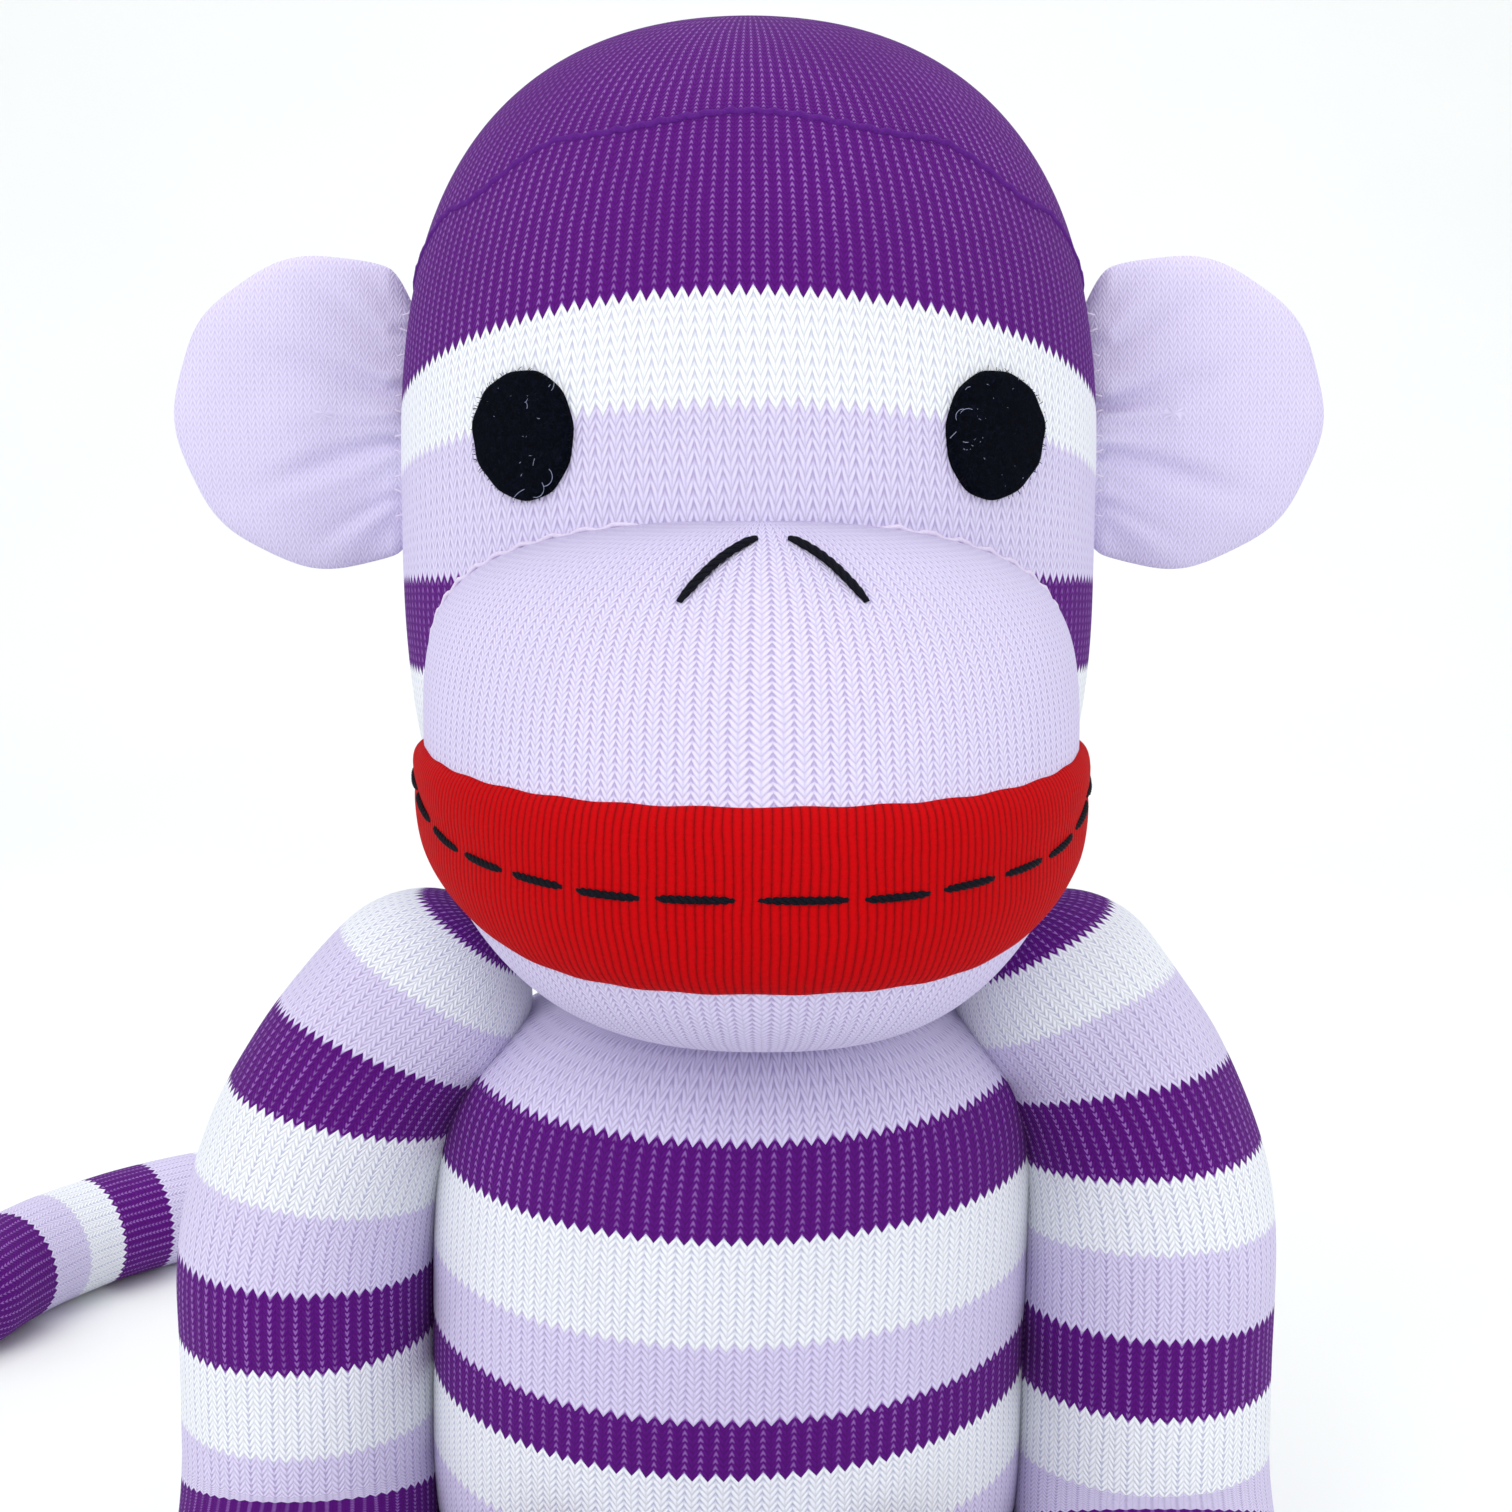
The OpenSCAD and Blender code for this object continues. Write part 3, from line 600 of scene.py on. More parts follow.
@dataclass
class Head:
    """The head's cover: one sock end drawn in at the neck, its toe seam across the crown."""

    neck: Vector
    width: float = 114.8
    depth: float = 104.0
    half_height: float = 80.5
    rise: float = 77.0
    columns: int = 168
    around: int = 96
    rows: int = 78

    @property
    def middle_z(self) -> float:
        """Height of the head's middle."""
        return self.neck.z + self.rise

    @property
    def foot_z(self) -> float:
        """Height below which the cover is drawn in to the neck."""
        return self.neck.z - 2.5

    def share(self, z: float) -> float:
        """The head's width at height z over its greatest width."""
        return bulge((z - self.middle_z) / self.half_height, 3, 2.3)

    def front(self, x: float, z: float) -> float:
        """Y of the face in front of x, from the head's middle, at height z."""
        share = max(self.share(z), 0.001)
        return -share * self.depth / 2 * math.sqrt(max(1 - (x / (share * self.width / 2)) ** 2, 0))

    def on_face(self, x: float, z: float, off: float = 0.0) -> Vector:
        """A point of the face at x from the head's middle, off mm out along its normal."""
        at = Vector((x, self.front(x, z), z))
        across = Vector((x + 0.5, self.front(x + 0.5, z), z)) - Vector((x - 0.5, self.front(x - 0.5, z), z))
        up = Vector((x, self.front(x, z + 0.5), z + 0.5)) - Vector((x, self.front(x, z - 0.5), z - 0.5))
        return at + off * across.cross(up).normalized() + Vector((self.neck.x, 0, 0))

    def tilt(self, level: float) -> float:
        """How much a row of stitches at a level rises towards the front, mm per mm."""
        z = level - self.neck.z
        return table(z, ((0, 0), (40, 0), (67, 0.08), (82, 0.27), (93.2, 0.405), (118, 0.34), (138, 0.2), (157, 0.0)))

    def ring(self, level: float) -> Ring:
        """The row of stitches at a level, which is its height at the ears."""
        points = []
        for j in range(self.around):
            turn = 2 * math.pi * j / self.around + math.pi / 2
            z = level
            for _ in range(8):
                share = self.share(z)
                y = share * self.depth / 2 * math.sin(turn)
                z = mix(z, level - self.tilt(level) * y, 0.7)
            share = self.share(z)
            swell = 1 + 0.004 * lumps(Vector((50 * math.cos(turn), 50 * math.sin(turn), z)), 26, 3)
            low = clamp((self.neck.z + 16 - z) / 16)
            pleat = 1 - 0.035 * low * (0.6 + 0.4 * math.sin(5 * turn)) * (0.5 + 0.5 * math.cos(26 * turn + 2 * math.sin(3 * turn)))
            x = share * self.width / 2 * math.cos(turn) * swell * pleat
            y = share * self.depth / 2 * math.sin(turn) * swell * pleat
            points.append(Vector((self.neck.x + x, y, z)))
        return points

    def cover(self) -> bpy.types.Object:
        """Builds the head's cover."""
        levels = [self.middle_z + self.half_height * math.sin(math.radians(a)) for a in
                  (mix(-85.5, 88.3, i / (self.rows - 1)) for i in range(self.rows))]
        rings = [self.ring(level) for level in levels]
        knit = [[(self.columns * j / self.around, level) for j in range(self.around + 1)] for level in levels]
        low = Vector((self.neck.x, 0, levels[0] - 0.1))
        high = Vector((self.neck.x, 0, self.middle_z + self.half_height))
        return loft("head_cover", rings, knit, ((low, levels[0] - 2), (high, levels[-1] + 2)))

    def toe_seam(self) -> bpy.types.Object:
        """The linked seam across the sock's toe, a low ridge over the crown."""
        path = []
        for i in range(220):
            turn = 2 * math.pi * i / 220 - math.pi
            z = self.neck.z + table(abs(math.degrees(turn)), ((0, 138.4), (35, 135.2), (61, 126.4), (90, 115), (180, 104)))
            share = self.share(z)
            path.append(Vector((self.neck.x + (share * self.width / 2 - 0.25) * math.sin(turn),
                                -(share * self.depth / 2 - 0.25) * math.cos(turn), z + 0.25 * math.sin(i * 2.4))))
        return strand("crown_seam", path, 0.62, loop=True, sides=3)


# ---------------------------------------------------------------- muzzle


@dataclass
class Muzzle:
    """The muzzle's pocket, sewn on over its own filling."""

    head: Head
    width: float = 101.5
    askew: float = 2.2   # the snout points a little to the monkey's left
    rise: float = 39.5
    half_height: float = 40.5
    out: float = 46.0
    droop: float = 15.5
    around: int = 64
    rows: int = 46

    @property
    def middle_z(self) -> float:
        """Height of the muzzle's middle."""
        return self.head.neck.z + self.rise

    def half(self, z: float) -> float:
        """The muzzle's half width at height z."""
        return min(self.width / 2 * bulge((z - self.middle_z) / self.half_height, 4.5, 2.2),
                   0.97 * self.head.share(z) * self.head.width / 2)

    def depth(self, z: float) -> float:
        """How far the muzzle stands out of the face at height z."""
        full = self.middle_z - self.droop
        if z > full:
            return self.out * bulge((z - full) / (self.middle_z + self.half_height - full), 1.7, 1.25)
        return self.out * bulge((full - z) / (full - self.middle_z + self.half_height), 3.5, 2)

    def point(self, psi: float, z: float) -> Vector:
        """A point of the muzzle: psi is 0 at its left side, 90 in front and 180 at its right side."""
        half = self.half(z)
        side = self.head.front(half, z)
        front = self.head.front(0, z) - self.depth(z)
        cosine, sine = math.cos(math.radians(psi)), math.sin(math.radians(psi))
        return Vector((half * signed_pow(cosine, 0.85) + self.askew * max(sine, 0) + self.head.neck.x,
                       side + (front - side) * max(sine, 0) ** 0.85, z))

    def normal(self, psi: float, z: float) -> Vector:
        """The way out of the muzzle at a point."""
        across = self.point(psi - 1, z) - self.point(psi + 1, z)
        return across.cross(self.point(psi, z + 0.5) - self.point(psi, z - 0.5)).normalized()

    def at(self, psi: float, z: float, off: float) -> Vector:
        """A point off the muzzle's surface by a distance in mm."""
        return self.point(psi, z) + off * self.normal(psi, z)

    def cover(self) -> bpy.types.Object:
        """Builds the pocket, closed behind inside the head."""
        heights = [self.middle_z - self.half_height * 0.995 * math.cos(math.pi * (i + 0.35) / (self.rows - 0.3))
                   for i in range(self.rows)]
        rings, knit, along = [], [], 0.0
        before = None
        for z in heights:
            front = [self.point(180 - 180 * i / self.around, z) for i in range(self.around + 1)]
            if before is not None:
                along += (front[self.around // 2] - before).length
            before = front[self.around // 2]
            back = [Vector((p.x * 0.9 + self.head.neck.x * 0.1, min(p.y + 6, 0), z)) for p in front[1:-1]][::-1]
            rings.append(front + back)
            columns = [(i - self.around / 2) * 1.28 for i in range(self.around + 1)]
            total = len(front) + len(back)
            knit.append([(columns[i] if i <= self.around else columns[-1], along) for i in range(total + 1)])
        rise = Vector((0, 0, 0.3))
        low = sum(rings[0], Vector()) / len(rings[0]) - rise
        high = sum(rings[-1], Vector()) / len(rings[-1]) + rise
        return loft("muzzle_cover", rings, knit, ((low, -1.0), (high, along + 1)))

    def edge(self) -> bpy.types.Object:
        """The slip-stitched edge of the pocket, a low puckered ridge on the face."""
        outline = []
        for i in range(241):
            t = i / 240 * 2 - 1  # -1 at the right foot, 0 at the top, 1 at the left foot
            a = math.radians(172 * (1 - abs(t)) - 90)
            z = self.middle_z + self.half_height * 0.985 * math.sin(a)
            x = math.copysign(self.half(z), t) if abs(t) > 1e-6 else 0.0
            outline.append((x, z))
        top = [(x, z) for x, z in outline]
        path = [self.head.on_face(x, z + 0.35 * math.sin(i * 1.7), 0.15) for i, (x, z) in enumerate(top)]
        return strand("muzzle_edge", path, 0.42, sides=3)


@dataclass
class Mouth:
    """The red rib band sewn across the muzzle, with running stitches along its middle."""

    muzzle: Muzzle
    top: float = 45.0
    height: float = 25.5
    end_rise: float = 13.0
    free: float = 6.0
    thick: float = 1.9

    def low(self, psi: float) -> float:
        """Height of the band's lower edge."""
        base = self.muzzle.head.neck.z
        return base + self.top - self.height + self.end_rise * abs(math.cos(math.radians(psi))) ** 6

    def high(self, psi: float) -> float:
        """Height of the band's upper edge."""
        return self.muzzle.head.neck.z + self.top + 1.0 * abs(math.cos(math.radians(psi))) ** 3

    def band(self) -> bpy.types.Object:
        """Builds the band as a low, rounded pad."""
        steps, across = 110, 14
        rings, knit, run, last = [], [], 0.0, None
        for i in range(steps + 1):
            f = i / steps
            psi = mix(180 - self.free, self.free, f)
            end = clamp(min(f, 1 - f) / 0.035)
            round_end = math.sqrt(1 - (1 - end) ** 2)
            low, high = self.low(psi), self.high(psi)
            middle = (low + high) / 2
            half = (high - low) / 2 * mix(0.72, 1.0, round_end)
            crown = self.muzzle.at(psi, middle, self.thick)
            if last is not None:
                run += (crown - last).length
            last = crown
            wave = 0.12 * math.sin(i * 0.9)
            front, back = [], []
            for k in range(across + 1):
                v = 2 * k / across - 1
                z = middle + half * math.sin(v * math.pi / 2) + wave * v
                lift = self.thick * (1 - abs(math.sin(v * math.pi / 2)) ** 7) * mix(0.5, 1, round_end)
                # The stitches pull the band down along its middle.
                lift -= 0.75 * math.exp(-((z - self.stitch_z(psi)) / 1.3) ** 2) * end
                front.append(self.muzzle.at(psi, z, lift))
                back.append(self.muzzle.at(psi, z, -1.6))
            rings.append(back + front[::-1])
            marks = [middle + half * math.sin((2 * k / across - 1) * math.pi / 2) for k in range(across + 1)]
            knit.append([(run, z) for z in marks + marks[::-1]] + [(run, marks[0])])
        first = sum(rings[0], Vector()) / len(rings[0])
        final = sum(rings[-1], Vector()) / len(rings[-1])
        return loft("mouth_band_knit", rings, knit, ((first, knit[0][0][1]), (final, knit[-1][0][1])))

    def stitch_z(self, psi: float) -> float:
        """Height of the line of running stitches."""
        cosine = abs(math.cos(math.radians(psi)))
        return self.muzzle.head.neck.z + self.top - 0.46 * self.height + 2.5 * cosine ** 2 + 5.5 * cosine ** 8

    def stitches(self) -> bpy.types.Object:
        """Builds the running stitches, each a short length of twisted thread."""
        count, span, gap = 14, 165.0, 0.16
        parts = []
        for i in range(count):
            start = 91.5 + span * (i / count - 0.5 + gap / count / 2)
            end = start + span * (1 - gap) / count
            path = []
            for k in range(25):
                f = k / 24
                psi = mix(start, end, f)
                lift = self.thick - 0.75 + 0.42 * math.sin(math.pi * f) ** 0.5
                path.append(self.muzzle.at(psi, self.stitch_z(psi) + 0.15 * math.sin(i * 2.1 + f), lift))
            parts.append(plied(f"stitch.{i}", path, 0.62))
        return join("mouth_running_stitches", parts)


@dataclass
class Nose:
    """Two curved satin stitches."""

    muzzle: Muzzle
    off_centre: float = 1.4
    inner: float = 2.4
    outer: float = 12.9

    def stitch(self, side: Side) -> bpy.types.Object:
        """Builds one nostril."""
        base = self.muzzle.head.neck.z
        path = []
        for k in range(61):
            f = k / 60
            z = mix(base + 77.6, base + 69.6, f) + 0.9 * math.sin(math.pi * f)
            x = self.off_centre + side.value * mix(self.inner, self.outer, f)
            psi = math.degrees(math.acos(signed_pow(x / self.muzzle.half(z), 1 / 0.85)))
            path.append(self.muzzle.at(psi, z, 0.05 + 0.5 * math.sin(math.pi * f) ** 0.4))
        return plied(f"nostril_thread_{side.name.lower()}", path, 0.68, plies=4, lay=7)


# ---------------------------------------------------------------- eyes


@dataclass
class Eye:
    """An oval of black felt glued and sewn to the face, with stray fibres on it."""

    head: Head
    side: Side
    x: float = 34.7
    rise: float = 92.0
    width: float = 15.4
    height: float = 19.1
    thick: float = 1.5

    def place(self, share: float, turn: float, off: float) -> Vector:
        """A point at a share of the oval's radius, off mm above the face."""
        cut = 1 + 0.018 * math.sin(3 * turn + self.side.value) + 0.008 * math.sin(11 * turn)
        x = self.x * self.side.value + 1.8 + share * cut * self.width / 2 * math.cos(turn)
        z = self.head.neck.z + self.rise + share * cut * self.height / 2 * math.sin(turn)
        return self.head.on_face(x, z, off)

    def pad(self) -> bpy.types.Object:
        """Builds the felt: a disc, inset, raised and laid on the face."""
        deselect()
        bpy.ops.mesh.primitive_circle_add(vertices=64, radius=1.0, fill_type="NGON")
        pad = bpy.context.view_layer.objects.active
        pad.name = f"eye_felt_{self.side.name.lower()}"
        bpy.ops.object.mode_set(mode="EDIT")
        bpy.ops.mesh.select_all(action="SELECT")
        bpy.ops.mesh.extrude_region_move(TRANSFORM_OT_translate={"value": (0, 0, 1)})
        for step in (0.08, 0.14, 0.2, 0.2, 0.2):
            bpy.ops.mesh.inset(thickness=step, depth=0)
        bpy.ops.object.mode_set(mode="OBJECT")
        # The face's own curve and the felt's rounded edge.
        for vertex in pad.data.vertices:
            radius = math.hypot(vertex.co.x, vertex.co.y)
            turn = math.atan2(vertex.co.y, vertex.co.x)
            top = vertex.co.z > 0.5
            share = radius * (0.985 if top else 1.0)
            off = -0.3
            if top:
                off = self.thick * (1 - 0.32 * clamp((radius - 0.9) / 0.1) ** 2) + 0.12 * math.sin(9 * turn) * radius
            vertex.co = self.place(share, turn, off) * MM
        pick(pad)
        bpy.ops.object.mode_set(mode="EDIT")
        bpy.ops.mesh.select_all(action="SELECT")
        bpy.ops.mesh.normals_make_consistent(inside=False)
        bpy.ops.object.mode_set(mode="OBJECT")
        smooth(pad)
        bevel = pad.modifiers.new("Edge", "BEVEL")
        bevel.width, bevel.segments, bevel.limit_method = 0.35 * MM, 3, "ANGLE"
        bpy.ops.object.modifier_apply(modifier=bevel.name)
        smooth(pad)
        return pad

    def fibres(self, pale: bool) -> bpy.types.Object:
        """Builds curled fibres: pale lint lying on the felt, or its own black ones round the edge."""
        draw = random.Random(11 + self.side.value + (5 if pale else 0))
        parts = []
        for i in range(26 if pale else 120):
            turn = draw.uniform(0, 2 * math.pi)
            share = math.sqrt(draw.uniform(0, 0.75)) if pale else draw.uniform(0.93, 0.99)
            start = self.place(share, turn, self.thick * (1.0 if pale else draw.uniform(0.2, 0.9)))
            out = (self.place(share + 0.06, turn, self.thick * 0.7) - start).normalized()
            way = Vector((draw.uniform(-1, 1), 0, draw.uniform(-1, 1))).normalized() if pale else out
            curl = draw.uniform(-0.9, 0.9)
            length = draw.uniform(1.2, 3.6) if pale else draw.uniform(0.3, 0.9)
            count = 7 if pale else 3
            line, at = [], start
            for k in range(count + 1):
                line.append(at.copy())
                bend = way.cross(Vector((0, 1, 0)))
                way = (way + bend * curl * (0.45 if pale else 0.3)).normalized()
                at = at + way * length / count
                if pale:
                    at.y = self.head.front(at.x - self.head.neck.x, at.z) - self.thick - 0.12 - 0.1 * draw.random()
            parts.append(strand(f"fibre.{i}", line, 0.035 if pale else 0.05, sides=0, shown=False))
        kind = "lint" if pale else "nap"
        return join(f"eye_{kind}_{self.side.name.lower()}", parts)


# ---------------------------------------------------------------- ears


@dataclass
class Ear:
    """A round two-sided pouch, lightly filled and gathered where it is sewn to the head."""

    head: Head
    side: Side
    fold: Vector
    radius: float = 26.0
    thick: float = 12.4
    x: float = 70.5
    rise: float = 95.0
    back: float = 5.0
    around: int = 176
    rows: int = 56

    @property
    def creases(self) -> tuple[tuple[float, float, float, float], ...]:
        """Height at the root, slope, depth and length in mm of each deep gather."""
        if self.side is Side.RIGHT:
            return (4.2, 0.3, 3.2, 13.0), (-4.6, -0.34, 3.8, 15.0), (13.0, 0.5, 1.8, 9.0), (-14.0, -0.55, 1.8, 9.0)
        return (1.4, 0.28, 3.0, 12.0), (-6.4, -0.3, 3.9, 16.0), (11.5, 0.5, 1.8, 9.0), (-15.0, -0.5, 1.8, 9.0)

    def stitches(self) -> bpy.types.Object:
        """Builds the small overcast stitches that hold the root to the head."""
        parts = []
        for i in range(11):
            h = mix(-16.5, 16.5, i / 10)
            z = self.head.neck.z + self.rise + h
            near = self.side.value * (self.head.share(z) * self.head.width / 2 - 0.2)
            inner = Vector((self.head.neck.x + near, self.back - 0.42 * self.thick, z))
            tip = Vector((inner.x + self.side.value * 1.8, inner.y - 0.2, z + (0.7 if i % 2 else -0.5)))
            path = [inner.lerp(tip, k / 6) - Vector((0, 0.2 * math.sin(math.pi * k / 6), 0)) for k in range(7)]
            parts.append(strand(f"overcast.{i}", path, 0.16))
        return join(f"ear_overcast_{self.side.name.lower()}", parts)

    def cover(self) -> bpy.types.Object:
        """Builds the ear about the Y axis through its middle, front pole to back pole."""
        centre = Vector((self.head.neck.x + self.side.value * self.x, self.back, self.head.neck.z + self.rise))
        root = self.fold.x - self.side.value * 4.5
        rings, knit = [], []
        for i in range(self.rows):
            lat = math.pi * (i + 0.5) / self.rows - math.pi / 2
            # The pouch is fullest in its middle and pinched at its sewn rim.
            ring, marks = [], []
            for j in range(self.around + 1):
                turn = 2 * math.pi * j / self.around
                r = self.radius * math.cos(lat) ** 0.8
                dx, dz = r * math.cos(turn), -r * math.sin(turn)
                flat = Vector((centre.x + dx, 0, centre.z + dz))
                y = self.thick / 2 * signed_pow(math.sin(lat), 0.9)
                inward = clamp((self.side.value * (flat.x - root)) / 30)
                # Gathers run out from the root and fade in the pouch's middle.
                run = max(self.side.value * (flat.x - root), 0.0)
                spread = math.atan2(dz, run + 14)
                crease = 0.7 * math.cos(17 * spread + 0.8 * math.sin(7 * spread)) * math.exp(-inward * 3.6)
                deep = sum(d * math.exp(-((dz - h - slope * run) / (1.1 + 0.07 * run)) ** 2 - (run / length) ** 2)
                           for h, slope, d, length in self.creases)
                y += (crease - deep) * math.copysign(abs(math.sin(lat)) ** 0.5, y)
                y *= mix(0.78, 1.0, ease(inward * 1.5))
                x = flat.x
                if self.side.value * (x - root) < 0:
                    x = root + 0.5 * (x - root)
                rim = 0.25 * math.sin(turn * 9 + self.side.value) * math.cos(lat) ** 4
                point = Vector((x + rim * math.cos(turn), centre.y + y, flat.z - rim * math.sin(turn)))
                point += Vector((0, 0.35 * lumps(point, 9, 7), 0))
                ring.append(point)
                marks.append((point.x / 1.35, point.z))
            rings.append(ring[:-1])
            knit.append(marks)
        front = Vector((centre.x, centre.y - self.thick / 2, centre.z))
        back = Vector((centre.x, centre.y + self.thick / 2, centre.z))
        made = loft(f"ear_cover_{self.side.name.lower()}", rings, knit, ((front, centre.z), (back, centre.z)))
        return made


# ---------------------------------------------------------------- torso and neck


@dataclass
class Torso:
    """The body's cover, from the flat seat to the gathers at the neck."""

    neck: Vector
    width: float = 104.6
    depth: float = 86.0
    belly_z: float = 48.0
    top_z: float = 120.6
    columns: int = 132
    around: int = 84
    rows: int = 60

    def share(self, z: float) -> float:
        """The torso's width at height z over its greatest width."""
        if z > self.belly_z:
            return bulge((z - self.belly_z) / (self.top_z - self.belly_z + 6.4), 8, 2)
        return bulge((self.belly_z - z) / (self.belly_z + 12), 3, 2)

    def closing(self, cover: bpy.types.Object) -> bpy.types.Object:
        """Builds the ladder stitches that close the stuffing slit, on the back of the finished cover."""
        parts = []
        for i in range(10):
            path = []
            for k in range(6):
                at = Vector((mix(-1.5, 1.5, k / 5), 90.0, 42.0 + 3.6 * i + mix(0.0, 1.1, k / 5))) * MM
                hit, place = cover.ray_cast(at, Vector((0, -1, 0)))[:2]
                if hit:
                    path.append(place / MM + Vector((0, 0.05 + 0.3 * math.sin(math.pi * k / 5), 0)))
            if len(path) > 2:
                parts.append(strand(f"ladder.{i}", path, 0.3))
        return join("closing_ladder_stitches", parts)

    def cover(self) -> bpy.types.Object:
        """Builds the cover."""
        top = self.neck.z - 1.2
        rings, knit = [], []
        for i in range(self.rows):
            level = top * (0.5 - 0.5 * math.cos(math.pi * (i + 0.3) / (self.rows - 0.4)))
            droop = 0.11 * ease(level / 30) * ease((top + 1 - level) / 10)
            ring, marks = [], []
            for j in range(self.around + 1):
                turn = 2 * math.pi * j / self.around + math.pi / 2
                z = level
                for _ in range(4):
                    share = self.share(z)
                    z = level + droop * share * self.depth / 2 * math.sin(turn)
                near = clamp((z - top + 13) / 13)
                pleat = 1 - 0.05 * near ** 1.5 * (0.5 + 0.5 * math.cos(24 * turn + 1.5 * math.sin(4 * turn)))
                swell = pleat * (1 + 0.006 * lumps(Vector((45 * math.cos(turn), 45 * math.sin(turn), z)), 24, 9))
                x = self.neck.x * (z / self.neck.z) ** 3 + share * swell * self.width / 2 * math.cos(turn)
                y = share * swell * self.depth / 2 * math.sin(turn)
                # The top slopes down towards the front, where the chin comes when the head nods.
                chin = self.neck.z - 2.4 + 0.105 * min(y, 0.0)
                ring.append(Vector((x, y, clamp(z, 0.0, max(chin, 0.0)))))
                marks.append((self.columns * j / self.around, level))
            rings.append(ring[:-1])
            knit.append(marks)
        seat = Vector((0, 0, 0.0))
        crown = Vector((self.neck.x, 0, self.neck.z - 2.4))
        return loft("torso_cover", rings, knit, ((seat, -12.0), (crown, top + 5)))


@dataclass
class Neck:
    """The drawn-in knit between head and torso, round the neck's filling."""

    pivot: Vector
    radius: float = 24.6
    low: float = -7.5
    high: float = 8.5

    def cover(self) -> bpy.types.Object:
        """Builds the gathered sleeve."""
        around, rows = 96, 15
        rings, knit = [], []
        for i in range(rows):
            f = i / (rows - 1)
            z = mix(self.low, self.high, f)
            waist = self.radius + 2.4 * (abs(2 * f - 1) ** 2)
            ring, marks = [], []
            for j in range(around + 1):
                turn = 2 * math.pi * j / around
                pleat = 0.55 * math.cos(32 * turn + math.sin(5 * turn)) * (1 - 0.5 * abs(2 * f - 1))
                ring.append(self.pivot + Vector(((waist + pleat) * math.cos(turn), (waist + pleat) * math.sin(turn), z)))
                marks.append((110 * j / around, z))
            rings.append(ring[:-1])
            knit.append(marks)
        low = self.pivot + Vector((0, 0, self.low))
        high = self.pivot + Vector((0, 0, self.high))
        return loft("neck_gathers", rings, knit, ((low, self.low), (high, self.high)))


# ---------------------------------------------------------------- limbs and tail


def tube(name: str, stations: Sequence[tuple[Vector, Vector, float, float]], around: int, columns: float,
         shear: Callable[[float, float], float] | None = None, grain: float = 0.35,
         seed: float = 0.0) -> bpy.types.Object:
    """A stuffed tube over stations, whose first and last close in a point.

    Args:
        name: the piece's name.
        stations: centre, direction, radius and mm along, in order.
        around: points round the tube.
        columns: stitches round the tube.
        shear: extra mm along for (mm along, mm to the outer side), where the rows hang askew.
        grain: how uneven the filling is, in mm.
        seed: moves the unevenness.

    Returns:
        The new object.
    """
    rings, knit = [], []
    upright = Vector((0, 1, 0)) if abs(stations[0][1].y) < 0.9 else Vector((0, 0, 1))
    for centre, way, radius, along in stations[1:-1]:
        side = upright.cross(way).normalized()
        up = way.cross(side)
        ring, marks = [], []
        for j in range(around + 1):
            turn = 2 * math.pi * j / around
            out = math.cos(turn) * side + math.sin(turn) * up
            point = centre + out * radius
            point += out * grain * lumps(point, 14, seed) * clamp(radius / 8)
            ring.append(point)
            skew = shear(along, (point - centre).dot(side)) if shear else 0.0
            marks.append((columns * j / around, along + skew))
        rings.append(ring[:-1])
        knit.append(marks)
    first, last = stations[0], stations[-1]
    return loft(name, rings, knit, ((first[0], first[3]), (last[0], last[3])))


